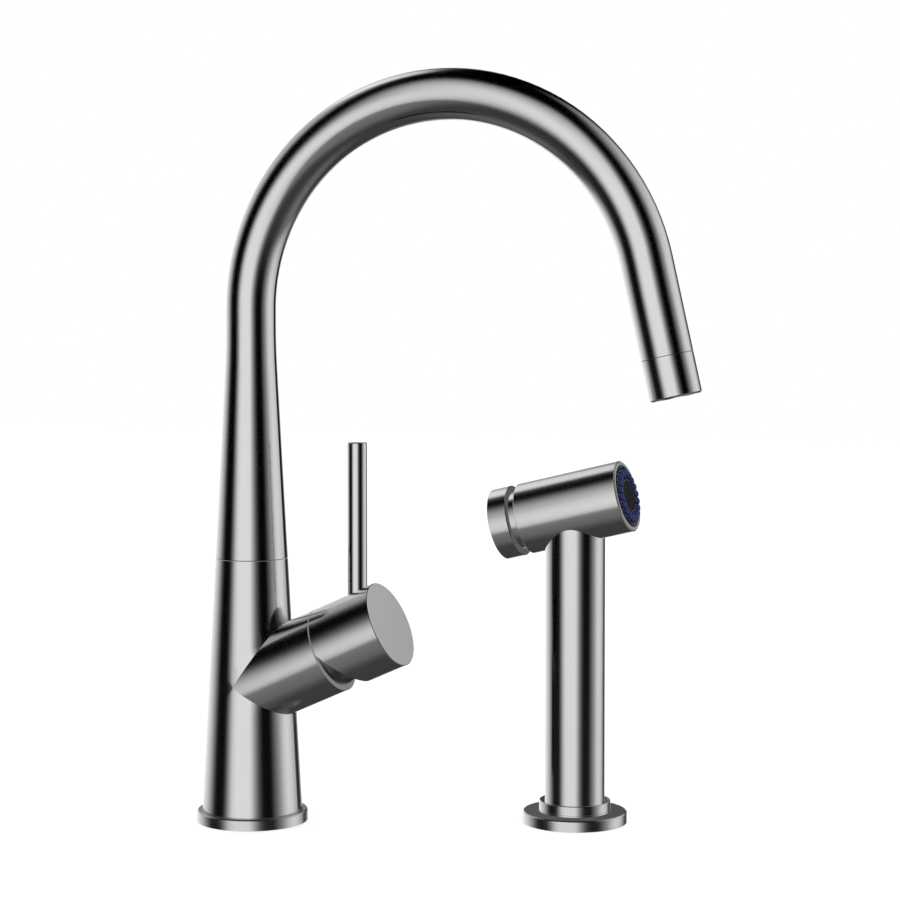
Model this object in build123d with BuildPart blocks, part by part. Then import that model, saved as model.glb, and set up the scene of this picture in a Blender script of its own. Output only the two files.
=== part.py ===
from build123d import *
from math import atan2, cos, degrees, radians, sin, sqrt, tan
import os

os.makedirs("parts", exist_ok=True)

# Single-lever kitchen mixer with a gooseneck spout, and the hand spray that stands beside it.
# Frame: origin in the middle of the mixer's base, on the worktop; +Z up; +X the way the spout points.

# ---------------------------------------------------------------- fits
running_fit = 0.05  # radial clearance of a shaft that turns or slides in its hole
assembly_fit = 0.1  # radial clearance of pieces that are screwed or pressed together
body_gap = 0.3  # air between pieces that move past each other

# ---------------------------------------------------------------- mixer foot and body
escutcheon_r = 26.75
escutcheon_t = 5.3
escutcheon_edge = 0.5
deck_opening_r = 17.0
gasket_t = 1.2
gasket_inner_r = 19.5
gasket_outer_r = 25.0
foot_r = 24.1
joint_r = 17.5
joint_z = 127.7  # height of the line between the fixed body and the swivelling spout
joint_gap = 0.4
body_wall = 2.2
body_top_t = 15.0
insert_r = 20.9
insert_t = 12.0
stud_hole_r = 3.4
stud_hole_depth = 15.0
hose_socket_r = 4.5
hose_socket_depth = 10.0
pipe_r = 4.0
pipe_bore_r = 3.0
pipe_seat = 4.0
supply_x = 6.5
supply_y = 8.5
spray_feed_x = -10.0
spray_feed_bore_r = 2.5

# ---------------------------------------------------------------- valve core and swivel
core_bottom_z = 32.0
core_r = 15.0
riser_r = 6.5
riser_bottom_z = 71.0
spigot_thread_r = 9.0
spigot_thread_depth = 11.0
spigot_bore_r = 6.0
flange_r = 13.2
flange_t = 4.0
spigot_r = 12.0
spigot_top_z = 165.0
seal_wire_r = 0.9
seal_groove_w = 2.4
seal_groove_zs = (139.0, 151.0)
clip_z = 161.0
clip_t = 1.2
clip_inner_r = 11.0
clip_outer_r = 13.0
clip_arc = 310.0
swivel_limit = 60.0  # degrees each way before the spout meets its stops
stop_tab_half = 15.0
slide_ring_recess = 0.5

# ---------------------------------------------------------------- spout
spout_socket_r = 13.5
spout_socket_top_z = 168.0
tube_r = 12.0
tube_bore_r = 10.4
arc_z = 247.4  # height at which the bend starts
tube_run = 18.4  # straight tube between the cone and the bend
neck_blend_r = 400.0
bend_r = 100.0
bend_angle = 167.2
outlet_run = 63.1
sleeve_l = 18.8
sleeve_seam = 0.3
sleeve_edge = 0.7
sleeve_washer_recess = 0.35
nipple_l = 6.0
nipple_bore_r = 8.0
aerator_r = 9.5
aerator_recess = 1.2
aerator_seal_t = 1.5
aerator_seal_bore_r = 8.2
honeycomb_pitch = 2.6
honeycomb_hole_r = 1.0
honeycomb_t = 2.5
spout_screw_z = 145.0
spout_screw_r = 2.0

# ---------------------------------------------------------------- handle barrel and cartridge
# Places along the barrel are measured from the body's axis, outwards.
barrel_z = 65.9
barrel_tilt = 24.37
barrel_r = 20.8
housing_end = 46.3
cap_gap = 0.7
cap_end = 79.65
cap_edge = 0.25
cartridge_r = 17.3
seat_back = 5.0
chamber_floor = 14.0
port_radius = 3.0
port_seal_w = 1.1
port_seal_t = 1.0
supply_port_u = -3.0
outlet_port_u = 8.0
base_top = 20.5
fixed_disc_r = 13.0
disc_t = 4.0
disc_seat = 2.0
disc_film = 0.05
moving_disc_r = 12.2
moving_disc_u = -2.9
carrier_plate_t = 3.5
carrier_boss_r = 7.0
carrier_boss_end = 34.5
housing_bore_r = 15.6
rotor_flange_start = 36.0
rotor_flange_t = 3.5
rotor_flange_r = 15.4
rotor_neck_r = 10.0
rotor_end = 53.8
rotor_slot_half_u = 7.5
housing_lid_t = 2.2
nut_t = 3.5
nut_bore_r = 11.0
nut_slots = 6
nut_slot_w = 3.0
pivot_t = 46.3  # the cartridge's pivot pin, level with the housing's end
pivot_pin_r = 2.0
stem_w = 7.0
stem_ball_r = 3.2
stem_ball_t = 33.0
stem_end = 72.0
dome_r = 18.0
dome_wall = 1.0
dome_height = 9.8
dome_skirt = 0.8
lift_limit = 25.0

# ---------------------------------------------------------------- handle cap and lever
cap_bore_r = 18.4
cap_end_wall = 6.0
cap_boss_r = 7.5
cap_boss_start = 59.8
cap_relief_slope = 0.57  # how fast the lower rear edge runs away from the housing
lever_x = 55.5
lever_r = 4.7
lever_top_z = 184.3
lever_edge = 0.3
lever_shoulder = 4.2
lever_thread_r = 3.0
lever_thread_l = 13.0
clamp_screw_t = 65.5
clamp_screw_r = 2.5
clamp_screw_l = 4.6
plug_t = 1.8

# ---------------------------------------------------------------- spray holder
spray_x = 147.2
spray_y = 52.1
holder_r = 25.15
holder_t = 5.3
holder_edge = 0.5
holder_thread_r = 15.2
holder_thread_l = 4.5
holder_gasket_inner_r = 18.0
holder_gasket_outer_r = 23.5
holder_step_t = 0.7
collar_r = 17.2
collar_seam = 0.15
collar_top_z = 10.5
collar_mouth = 1.3  # open depth above the lip that keeps the glide ring in
collar_lip_t = 0.5
collar_lip_w = 0.75
glide_outer_r = 16.4
ledge_bore_r = 12.8
ledge_t = 0.7

# ---------------------------------------------------------------- hand spray
handset_r = 14.4
handset_wall = 1.2
head_z = 151.9
head_tilt = 13.82
head_r = 17.2
head_bore_r = 15.7
head_front = 27.0
head_rear = -25.4
head_edge = 0.35
head_rim_edge = 0.6
head_rear_wall = 3.0
stub_l = 9.0
stub_clearance = 0.1
water_tube_r = 6.0
water_tube_bore_r = 4.6
hose_thread_r = 7.0
hose_thread_l = 12.0
check_valve_r = 5.6
check_valve_l = 8.0
button_front = -29.4
button_rear = -39.2
button_edge = 0.35
button_wall = 3.0
button_travel = 3.3
neck_r = 13.6
neck_end = -32.4
rod_r = 2.2
piston_r = 5.0  # same as the seat's bore, so that water pressure on the two cancels
piston_end = -20.0
gland_r = 7.0
gland_t = 2.0
seat_start = 2.0
seat_t = 6.0
seat_bore_r = piston_r
poppet_r = 7.5
poppet_t = 2.4
poppet_seal_t = 0.8
poppet_seal_gap = 0.05
spray_plate_start = 23.0
spray_plate_t = 2.5
spray_boss_r = 8.4
spray_boss_l = 2.0
nozzle_count = 20
nozzle_pitch_r = 11.3
nozzle_base_r = 1.4
nozzle_tip_r = 1.15
nozzle_bore_r = 0.45
nozzle_end = 28.8
nozzle_ring_inner_r = 8.6
nozzle_ring_outer_r = 13.8
pad_inner_r = 9.2
pad_outer_r = 13.4
pad_t = 1.4
centre_r = 7.4
centre_t = 2.5
centre_ring_r = 7.9
centre_ring_t = 2.4
trim_inner_r = 14.3
trim_t = 1.4
valve_spring_r = 4.2
valve_spring_wire_r = 0.4
valve_spring_turns = 4.5

# ---------------------------------------------------------------- diverter in the swivel riser
cage_r = 5.9
cage_bore_r = 5.0
cage_bottom_z = 104.0
cage_l = 16.0
cage_plate_t = 1.2
piston_stem_r = 1.5
piston_head_r = 4.7
piston_head_t = 2.0
diverter_travel = 3.0
diverter_spring_r = 3.4
diverter_spring_wire_r = 0.3
diverter_spring_turns = 5.0

# ---------------------------------------------------------------- derived places
neck_z = arc_z - tube_run  # height at which the cone has drawn in to the tube
chamber_r = cartridge_r + body_gap
body_top_z = joint_z - joint_gap
body_ceiling_z = body_top_z - body_top_t
insert_top_z = escutcheon_t + insert_t
flange_top_z = body_top_z + flange_t
supply_holes = ((supply_x, supply_y), (supply_x, -supply_y))
spray_hole = (spray_feed_x, 0)
tilt = radians(barrel_tilt)
barrel_dir = (cos(tilt), 0, sin(tilt))
barrel_axis = Axis((0, 0, barrel_z), barrel_dir)
head_dir = (cos(radians(head_tilt)), 0, sin(radians(head_tilt)))
head_centre = (spray_x, spray_y, head_z)
head_axis = Axis(head_centre, head_dir)
spray_axis = Axis((spray_x, spray_y, 0), (0, 0, 1))
bend = radians(bend_angle)
bend_end = (bend_r - bend_r * cos(bend), 0, arc_z + bend_r * sin(bend))
outlet_dir = (sin(bend), 0, cos(bend))
outlet_axis = Axis(bend_end, outlet_dir)
cap_start = housing_end + cap_gap
nut_start = base_top + (rotor_flange_start - base_top) + rotor_flange_t + body_gap + housing_lid_t
moving_disc_start = base_top - disc_seat + disc_t + disc_film
carrier_start = moving_disc_start + disc_t
piston_head_z = cage_bottom_z + cage_plate_t + running_fit
handset_bottom_z = holder_thread_l + ledge_t + body_gap
check_valve_z = handset_bottom_z + hose_thread_l + body_gap
water_tube_bottom_z = check_valve_z + check_valve_l + body_gap
hose_socket_top_z = water_tube_bottom_z + pipe_seat
handset_bore_r = handset_r - handset_wall
stub_r = handset_bore_r - stub_clearance


def cone_radius(z):
    """Outer radius of the mixer's conical body at height z."""
    return foot_r + (joint_r - foot_r) * (z - escutcheon_t) / (joint_z - escutcheon_t)


def across(origin, direction, distance):
    """Plane square to an axis, at a distance along it. Its x runs along +Y."""
    place = Vector(*origin) + Vector(*direction) * distance
    return Plane(origin=place, x_dir=(0, 1, 0), z_dir=direction)


def half_section(origin, direction):
    """Plane that holds an axis: its x is the radius and its y runs along the axis."""
    normal = Vector(0, 1, 0).cross(Vector(*direction))
    return Plane(origin=origin, x_dir=(0, 1, 0), z_dir=normal)


def on_barrel(t):
    return across((0, 0, barrel_z), barrel_dir, t)


def on_head(t):
    return across(head_centre, head_dir, t)


def on_outlet(s):
    return across(bend_end, outlet_dir, s)


barrel_section = half_section((0, 0, barrel_z), barrel_dir)
head_section = half_section(head_centre, head_dir)
outlet_section = half_section(bend_end, outlet_dir)
spray_section = Plane(origin=(spray_x, spray_y, 0), x_dir=(1, 0, 0), z_dir=(0, -1, 0))


# ================================================================ mixer foot
with BuildPart() as escutcheon:
    with BuildSketch(Plane.XZ):
        with BuildLine():
            Polyline(
                (deck_opening_r, 0),
                (gasket_inner_r, 0),
                (gasket_inner_r, gasket_t),
                (gasket_outer_r, gasket_t),
                (gasket_outer_r, 0),
                (escutcheon_r, 0),
                (escutcheon_r, escutcheon_t - escutcheon_edge),
                (escutcheon_r - escutcheon_edge, escutcheon_t),
                (deck_opening_r, escutcheon_t),
                close=True,
            )
        make_face()
    revolve(axis=Axis.Z)

with BuildPart() as deck_gasket:
    with BuildSketch():
        Circle(gasket_outer_r)
        Circle(gasket_inner_r, mode=Mode.SUBTRACT)
    extrude(amount=gasket_t)

# Brass plug in the foot: stud hole in the middle, two supply sockets and the spray socket round it.
with BuildPart() as base_insert:
    with BuildSketch():
        Circle(deck_opening_r - assembly_fit)
    extrude(amount=escutcheon_t)
    with BuildSketch(Plane.XY.offset(escutcheon_t)):
        Circle(insert_r)
    extrude(amount=insert_t)
    with BuildSketch():
        Circle(stud_hole_r)
    extrude(amount=stud_hole_depth, mode=Mode.SUBTRACT)
    with BuildSketch():
        with Locations(*supply_holes, spray_hole):
            Circle(hose_socket_r)
    extrude(amount=hose_socket_depth, mode=Mode.SUBTRACT)
    with BuildSketch(Plane.XY.offset(hose_socket_depth)):
        with Locations(*supply_holes, spray_hole):
            Circle(pipe_bore_r)
    extrude(amount=insert_top_z - hose_socket_depth, mode=Mode.SUBTRACT)
    with BuildSketch(Plane.XY.offset(insert_top_z - pipe_seat)):
        with Locations(*supply_holes, spray_hole):
            Circle(pipe_r + running_fit)
    extrude(amount=pipe_seat, mode=Mode.SUBTRACT)


def standing_pipe(place):
    """Copper pipe from the base insert up into the valve core."""
    with BuildPart() as pipe:
        with BuildSketch(Plane.XY.offset(insert_top_z - pipe_seat)):
            with Locations(place):
                Circle(pipe_r)
                Circle(pipe_bore_r, mode=Mode.SUBTRACT)
        extrude(amount=core_bottom_z - insert_top_z + 2 * pipe_seat)
    return pipe


hot_pipe = standing_pipe(supply_holes[0])
cold_pipe = standing_pipe(supply_holes[1])
spray_pipe = standing_pipe(spray_hole)

# ================================================================ mixer body
with BuildPart() as mixer_body:
    with BuildSketch(Plane.XZ):
        with BuildLine():
            Polyline(
                (0, escutcheon_t),
                (foot_r, escutcheon_t),
                (cone_radius(body_top_z), body_top_z),
                (0, body_top_z),
                close=True,
            )
        make_face()
    revolve(axis=Axis.Z)
    with BuildSketch(on_barrel(0)):
        Circle(barrel_r)
    extrude(amount=housing_end)
    with BuildSketch(Plane.XZ):
        with BuildLine():
            Polyline(
                (0, escutcheon_t),
                (insert_r + assembly_fit, escutcheon_t),
                (insert_r + assembly_fit, insert_top_z),
                (cone_radius(insert_top_z) - body_wall, insert_top_z),
                (cone_radius(body_ceiling_z) - body_wall, body_ceiling_z),
                (spigot_thread_r + running_fit, body_ceiling_z),
                (spigot_thread_r + running_fit, body_top_z),
                (0, body_top_z),
                close=True,
            )
        make_face()
    revolve(axis=Axis.Z, mode=Mode.SUBTRACT)
    with BuildSketch(on_barrel(seat_back - body_gap)):
        Circle(chamber_r)
    extrude(amount=housing_end - seat_back + body_gap, mode=Mode.SUBTRACT)

# Brass waterways: column in the body, seat for the cartridge in the barrel, riser up to the swivel.
with BuildPart() as valve_core:
    with BuildSketch(Plane.XY.offset(core_bottom_z)):
        Circle(core_r)
    extrude(amount=body_ceiling_z - core_bottom_z)
    with BuildSketch(on_barrel(seat_back)):
        Circle(chamber_r - assembly_fit)
    extrude(amount=chamber_floor - seat_back)
    # the chamber in front of the seat stays open
    with BuildSketch(on_barrel(chamber_floor)):
        Circle(chamber_r - assembly_fit)
    extrude(amount=core_r * 2, mode=Mode.SUBTRACT)
    with BuildSketch(Plane.XY.offset(core_bottom_z)):
        with Locations(*supply_holes, spray_hole):
            Circle(pipe_r + running_fit)
    extrude(amount=pipe_seat, mode=Mode.SUBTRACT)
    with BuildSketch(Plane.XY.offset(core_bottom_z)):
        with Locations(*supply_holes):
            Circle(pipe_bore_r)
    supply_meet_t = (supply_x + supply_port_u * sin(tilt)) / cos(tilt)
    supply_meet_z = barrel_z + supply_meet_t * sin(tilt) + supply_port_u * cos(tilt)
    extrude(amount=supply_meet_z - core_bottom_z, mode=Mode.SUBTRACT)
    with BuildSketch(on_barrel(supply_meet_t)):
        with Locations((supply_y, supply_port_u), (-supply_y, supply_port_u)):
            Circle(pipe_bore_r)
    extrude(amount=chamber_floor - supply_meet_t, mode=Mode.SUBTRACT)
    with BuildSketch(Plane.XY.offset(riser_bottom_z)):
        Circle(riser_r)
    extrude(amount=body_ceiling_z - riser_bottom_z, mode=Mode.SUBTRACT)
    with BuildSketch(on_barrel(outlet_port_u * tan(tilt))):
        with Locations((0, outlet_port_u)):
            Circle(port_radius)
    extrude(amount=chamber_floor, mode=Mode.SUBTRACT)
    with BuildSketch(Plane.XY.offset(body_ceiling_z - spigot_thread_depth)):
        Circle(spigot_thread_r + running_fit)
    extrude(amount=spigot_thread_depth, mode=Mode.SUBTRACT)
    spray_cross_z = body_ceiling_z - spigot_thread_depth - 2 * spray_feed_bore_r
    with BuildSketch(Plane.XY.offset(core_bottom_z)):
        with Locations(spray_hole):
            Circle(spray_feed_bore_r)
    extrude(amount=spray_cross_z - core_bottom_z, mode=Mode.SUBTRACT)
    with BuildSketch(Plane.YZ):
        with Locations((0, spray_cross_z)):
            Circle(spray_feed_bore_r)
    extrude(amount=spray_feed_x, mode=Mode.SUBTRACT)

# ================================================================ swivel
with BuildPart() as swivel_spigot:
    with BuildSketch(Plane.XZ):
        with BuildLine():
            Polyline(
                (spigot_bore_r, body_ceiling_z - spigot_thread_depth + body_gap),
                (spigot_thread_r, body_ceiling_z - spigot_thread_depth + body_gap),
                (spigot_thread_r, body_top_z),
                (flange_r, body_top_z),
                (flange_r, flange_top_z),
                (spigot_r, flange_top_z),
                (spigot_r, spigot_top_z),
                (spigot_bore_r, spigot_top_z),
                close=True,
            )
        make_face()
        with Locations(*[(spigot_r, z) for z in seal_groove_zs]):
            Rectangle(2 * (2 * seal_wire_r), seal_groove_w, mode=Mode.SUBTRACT)
        with Locations((spigot_r, clip_z + clip_t / 2)):
            Rectangle(2 * (spigot_r - clip_inner_r), clip_t + running_fit * 2, mode=Mode.SUBTRACT)
    revolve(axis=Axis.Z)
    # notch in the flange, in which the bush's tab swings between the stops
    notch_half = swivel_limit + stop_tab_half + 1.5
    with BuildSketch(Plane.XZ.rotated((0, 0, -notch_half))):
        with BuildLine():
            Polyline(
                (spigot_r, body_top_z),
                (flange_r + 1, body_top_z),
                (flange_r + 1, flange_top_z),
                (spigot_r, flange_top_z),
                close=True,
            )
        make_face()
    revolve(axis=Axis.Z, revolution_arc=2 * notch_half, mode=Mode.SUBTRACT)

with BuildPart() as swivel_seals:
    with Locations(*[(0, 0, z) for z in seal_groove_zs]):
        Torus(spigot_r - seal_wire_r + running_fit / 2, seal_wire_r)

with BuildPart() as slide_ring:
    with BuildSketch(Plane.XY.offset(body_top_z)):
        Circle(joint_r - slide_ring_recess)
        Circle(spout_socket_r + assembly_fit, mode=Mode.SUBTRACT)
    extrude(amount=joint_gap - running_fit)

with BuildPart() as spout_circlip:
    with BuildSketch(Plane.XZ):
        with Locations(((clip_inner_r + clip_outer_r) / 2, clip_z + clip_t / 2)):
            Rectangle(clip_outer_r - clip_inner_r - running_fit, clip_t)
    revolve(axis=Axis.Z, revolution_arc=clip_arc)

with BuildPart() as spout_bush:
    with BuildSketch(Plane.XZ):
        with BuildLine():
            Polyline(
                (spigot_r + running_fit, flange_top_z + body_gap),
                (spout_socket_r - running_fit, flange_top_z + body_gap),
                (spout_socket_r - running_fit, clip_z - body_gap),
                (spigot_r + running_fit, clip_z - body_gap),
                close=True,
            )
        make_face()
    revolve(axis=Axis.Z)
    with BuildSketch(Plane.XZ.rotated((0, 0, -stop_tab_half))):
        with BuildLine():
            Polyline(
                (spigot_r + 2 * running_fit, body_top_z + body_gap),
                (spout_socket_r - running_fit, body_top_z + body_gap),
                (spout_socket_r - running_fit, flange_top_z + body_gap),
                (spigot_r + 2 * running_fit, flange_top_z + body_gap),
                close=True,
            )
        make_face()
    revolve(axis=Axis.Z, revolution_arc=2 * stop_tab_half)
    with BuildSketch(Plane.XZ.offset(-(spigot_r + 0.6))):
        with Locations((0, spout_screw_z)):
            Circle(spout_screw_r + running_fit)
    extrude(amount=-spout_socket_r, mode=Mode.SUBTRACT)

# ================================================================ diverter
with BuildPart() as diverter_cage:
    with BuildSketch(Plane.XZ):
        with BuildLine():
            Polyline(
                (piston_stem_r + running_fit, cage_bottom_z),
                (cage_r, cage_bottom_z),
                (cage_r, cage_bottom_z + cage_l),
                (piston_stem_r + 1, cage_bottom_z + cage_l),
                (piston_stem_r + 1, cage_bottom_z + cage_l - cage_plate_t),
                (cage_bore_r, cage_bottom_z + cage_l - cage_plate_t),
                (cage_bore_r, cage_bottom_z + cage_plate_t),
                (piston_stem_r + running_fit, cage_bottom_z + cage_plate_t),
                close=True,
            )
        make_face()
    revolve(axis=Axis.Z)
    with BuildSketch(Plane.XY.offset(cage_bottom_z)):
        with PolarLocations((cage_bore_r + piston_stem_r) / 2, 4):
            Circle(1.1)
    extrude(amount=cage_plate_t, mode=Mode.SUBTRACT)

with BuildPart() as diverter_piston:
    with BuildSketch(Plane.XY.offset(cage_bottom_z - 2)):
        Circle(piston_stem_r)
    extrude(amount=piston_head_z - cage_bottom_z + 2)
    with BuildSketch(Plane.XY.offset(piston_head_z)):
        Circle(piston_head_r)
    extrude(amount=piston_head_t)

with BuildPart() as diverter_spring:
    spring_bottom = piston_head_z + piston_head_t + diverter_spring_wire_r
    spring_top = cage_bottom_z + cage_l - cage_plate_t - diverter_spring_wire_r
    spring_l = spring_top - spring_bottom
    with BuildLine():
        coil = Helix(spring_l / diverter_spring_turns, spring_l, diverter_spring_r, center=(0, 0, spring_bottom))
    with BuildSketch(Plane(origin=coil @ 0, z_dir=coil % 0)):
        Circle(diverter_spring_wire_r)
    sweep(is_frenet=True)

# ================================================================ spout
with BuildPart() as spout:
    with BuildSketch(Plane.XZ):
        with BuildLine():
            skin = FilletPolyline(
                (joint_r, joint_z),
                (tube_r, neck_z),
                (tube_r, arc_z),
                radius=neck_blend_r,
            )
            Polyline(
                skin @ 1,
                (tube_bore_r, arc_z),
                (tube_bore_r, spout_socket_top_z),
                (spout_socket_r, spout_socket_top_z),
                (spout_socket_r, joint_z),
                skin @ 0,
            )
        make_face()
    revolve(axis=Axis.Z)
    with BuildSketch(Plane.XY.offset(arc_z)):
        Circle(tube_r)
        Circle(tube_bore_r, mode=Mode.SUBTRACT)
    revolve(axis=Axis((bend_r, 0, arc_z), (0, 1, 0)), revolution_arc=bend_angle)
    with BuildSketch(on_outlet(0)):
        Circle(tube_r)
        Circle(tube_bore_r, mode=Mode.SUBTRACT)
    extrude(amount=outlet_run - sleeve_l - sleeve_seam)
    with BuildSketch(Plane.XZ.offset(-spigot_r)):
        with Locations((0, spout_screw_z)):
            Circle(spout_screw_r + running_fit)
    extrude(amount=-joint_r, mode=Mode.SUBTRACT)

with BuildPart() as spout_screw:
    with BuildSketch(Plane.XZ.offset(-(spigot_r + 0.7))):
        with Locations((0, spout_screw_z)):
            Circle(spout_screw_r)
    extrude(amount=-2.6)
    with BuildSketch(Plane.XZ.offset(-(spigot_r + 2.0))):
        with Locations((0, spout_screw_z)):
            RegularPolygon(spout_screw_r / 2, 6)
    extrude(amount=-1.4, mode=Mode.SUBTRACT)

sleeve_start = outlet_run - sleeve_l
with BuildPart() as aerator_sleeve:
    with BuildSketch(outlet_section):
        with BuildLine():
            Polyline(
                (nipple_bore_r, sleeve_start - nipple_l),
                (tube_bore_r - assembly_fit, sleeve_start - nipple_l),
                (tube_bore_r - assembly_fit, sleeve_start),
                (tube_r, sleeve_start),
                (tube_r, outlet_run - sleeve_edge),
                (tube_r - sleeve_edge, outlet_run),
                (aerator_r + assembly_fit, outlet_run),
                (aerator_r + assembly_fit, sleeve_start + aerator_seal_t),
                (nipple_bore_r, sleeve_start + aerator_seal_t),
                close=True,
            )
        make_face()
    revolve(axis=outlet_axis)

with BuildPart() as sleeve_washer:
    with BuildSketch(on_outlet(sleeve_start - sleeve_seam)):
        Circle(tube_r - sleeve_washer_recess)
        Circle(tube_bore_r - assembly_fit + running_fit, mode=Mode.SUBTRACT)
    extrude(amount=sleeve_seam)

with BuildPart() as aerator_seal:
    with BuildSketch(on_outlet(sleeve_start + aerator_seal_t)):
        Circle(aerator_r)
        Circle(aerator_seal_bore_r, mode=Mode.SUBTRACT)
    extrude(amount=aerator_seal_t)

# Plastic mixing cup with a honeycomb face.
with BuildPart() as aerator_insert:
    insert_start = sleeve_start + 2 * aerator_seal_t
    insert_end = outlet_run - aerator_recess
    with BuildSketch(on_outlet(insert_start)):
        Circle(aerator_r)
    extrude(amount=insert_end - insert_start)
    with BuildSketch(on_outlet(insert_start)):
        Circle(aerator_seal_bore_r)
    extrude(amount=insert_end - insert_start - honeycomb_t, mode=Mode.SUBTRACT)
    with BuildSketch(on_outlet(insert_end - honeycomb_t)):
        with HexLocations(honeycomb_pitch / 2, 7, 7):
            RegularPolygon(honeycomb_hole_r, 6)
        Circle(aerator_seal_bore_r - 0.6, mode=Mode.INTERSECT)
    extrude(amount=honeycomb_t, mode=Mode.SUBTRACT)

# ================================================================ cartridge
port_places = ((supply_y, supply_port_u), (-supply_y, supply_port_u), (0, outlet_port_u))

with BuildPart() as port_seals:
    with BuildSketch(on_barrel(chamber_floor)):
        with Locations(*port_places):
            Circle(port_radius + port_seal_w)
        with Locations(*port_places):
            Circle(port_radius, mode=Mode.SUBTRACT)
    extrude(amount=port_seal_t)

with BuildPart() as cartridge_base:
    with BuildSketch(on_barrel(chamber_floor)):
        Circle(cartridge_r)
    extrude(amount=base_top - chamber_floor)
    with BuildSketch(on_barrel(chamber_floor)):
        with Locations(*port_places):
            Circle(port_radius)
    extrude(amount=base_top - chamber_floor, mode=Mode.SUBTRACT)
    with BuildSketch(on_barrel(chamber_floor)):
        with Locations(*port_places):
            Circle(port_radius + port_seal_w)
    extrude(amount=port_seal_t, mode=Mode.SUBTRACT)
    with BuildSketch(on_barrel(base_top - disc_seat)):
        Circle(fixed_disc_r + running_fit)
    extrude(amount=disc_seat, mode=Mode.SUBTRACT)

with BuildPart() as fixed_disc:
    with BuildSketch(on_barrel(base_top - disc_seat)):
        Circle(fixed_disc_r)
        with Locations(*port_places):
            Circle(port_radius, mode=Mode.SUBTRACT)
    extrude(amount=disc_t)

with BuildPart() as moving_disc:
    with BuildSketch(on_barrel(moving_disc_start)):
        with Locations((0, moving_disc_u)):
            Circle(moving_disc_r)
    extrude(amount=disc_t)
    # hollow in the underside that joins the inlets to the outlet
    with BuildSketch(on_barrel(moving_disc_start)):
        with Locations((0, moving_disc_u)):
            Ellipse(moving_disc_r - 3, port_radius * 2)
    extrude(amount=disc_t / 2, mode=Mode.SUBTRACT)

ball_swing = (pivot_t - stem_ball_t) * sin(radians(lift_limit))
ball_rise = pivot_t - (pivot_t - stem_ball_t) * cos(radians(lift_limit))
pocket_half = stem_ball_r + 3 * running_fit
pocket_floor = stem_ball_t - stem_ball_r - body_gap
with BuildPart() as disc_carrier:
    with BuildSketch(on_barrel(carrier_start)):
        with Locations((0, moving_disc_u)):
            Circle(moving_disc_r)
    extrude(amount=carrier_plate_t)
    with BuildSketch(on_barrel(carrier_start)):
        Circle(carrier_boss_r)
    extrude(amount=carrier_boss_end - carrier_start)
    with BuildSketch(on_barrel(pocket_floor)):
        Rectangle(2 * (stem_ball_r + running_fit), 2 * pocket_half)
    extrude(amount=carrier_boss_end - pocket_floor, mode=Mode.SUBTRACT)

housing_lid_start = rotor_flange_start + rotor_flange_t + body_gap
with BuildPart() as cartridge_housing:
    with BuildSketch(barrel_section):
        with BuildLine():
            Polyline(
                (housing_bore_r, base_top),
                (cartridge_r, base_top),
                (cartridge_r, nut_start),
                (rotor_neck_r + 2 * running_fit, nut_start),
                (rotor_neck_r + 2 * running_fit, housing_lid_start),
                (housing_bore_r, housing_lid_start),
                close=True,
            )
        make_face()
    revolve(axis=barrel_axis)

with BuildPart() as rotor:
    with BuildSketch(on_barrel(rotor_flange_start)):
        Circle(rotor_flange_r)
    extrude(amount=rotor_flange_t)
    with BuildSketch(on_barrel(rotor_flange_start)):
        Circle(rotor_neck_r)
    extrude(amount=rotor_end - rotor_flange_start)
    with BuildSketch(on_barrel(rotor_flange_start)):
        Rectangle(stem_w + 2 * running_fit, 2 * rotor_slot_half_u)
    extrude(amount=rotor_end - rotor_flange_start, mode=Mode.SUBTRACT)
    # longer at its lower end, where the stem's ball swings
    with BuildSketch(on_barrel(rotor_flange_start)):
        Rectangle(stem_w + 2 * running_fit, 2 * (ball_swing + stem_ball_r + body_gap))
    extrude(amount=ball_rise + stem_ball_r + body_gap - rotor_flange_start, mode=Mode.SUBTRACT)
    with BuildSketch(Plane.XZ.offset(-rotor_neck_r)):
        with Locations((pivot_t * cos(tilt), barrel_z + pivot_t * sin(tilt))):
            Circle(pivot_pin_r)
    extrude(amount=2 * rotor_neck_r, mode=Mode.SUBTRACT)

with BuildPart() as pivot_pin:
    with BuildSketch(Plane.XZ.offset(-(rotor_neck_r - body_gap))):
        with Locations((pivot_t * cos(tilt), barrel_z + pivot_t * sin(tilt))):
            Circle(pivot_pin_r)
    extrude(amount=2 * (rotor_neck_r - body_gap))

with BuildPart() as stem:
    with BuildSketch(on_barrel(stem_ball_t)):
        Rectangle(stem_w, stem_w)
    extrude(amount=stem_end - stem_ball_t)
    # turned down to a neck where it dips into the carrier
    with BuildSketch(on_barrel(stem_ball_t - stem_ball_r)):
        Rectangle(2 * stem_w, 2 * stem_w)
        Circle(stem_ball_r - 0.8, mode=Mode.SUBTRACT)
    extrude(amount=rotor_flange_start + 1 - stem_ball_t + stem_ball_r, mode=Mode.SUBTRACT)
    with Locations(on_barrel(stem_ball_t).location):
        Sphere(stem_ball_r)
    with BuildSketch(Plane.XZ.offset(-stem_w)):
        with Locations((pivot_t * cos(tilt), barrel_z + pivot_t * sin(tilt))):
            Circle(pivot_pin_r + running_fit)
    extrude(amount=2 * stem_w, mode=Mode.SUBTRACT)

with BuildPart() as cartridge_nut:
    with BuildSketch(on_barrel(nut_start)):
        Circle(chamber_r - assembly_fit)
        Circle(nut_bore_r, mode=Mode.SUBTRACT)
    extrude(amount=nut_t)
    with BuildSketch(on_barrel(nut_start + nut_t / 2)):
        with PolarLocations(chamber_r, nut_slots):
            Rectangle(nut_slot_w * 2, nut_slot_w)
    extrude(amount=nut_t / 2, mode=Mode.SUBTRACT)

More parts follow.
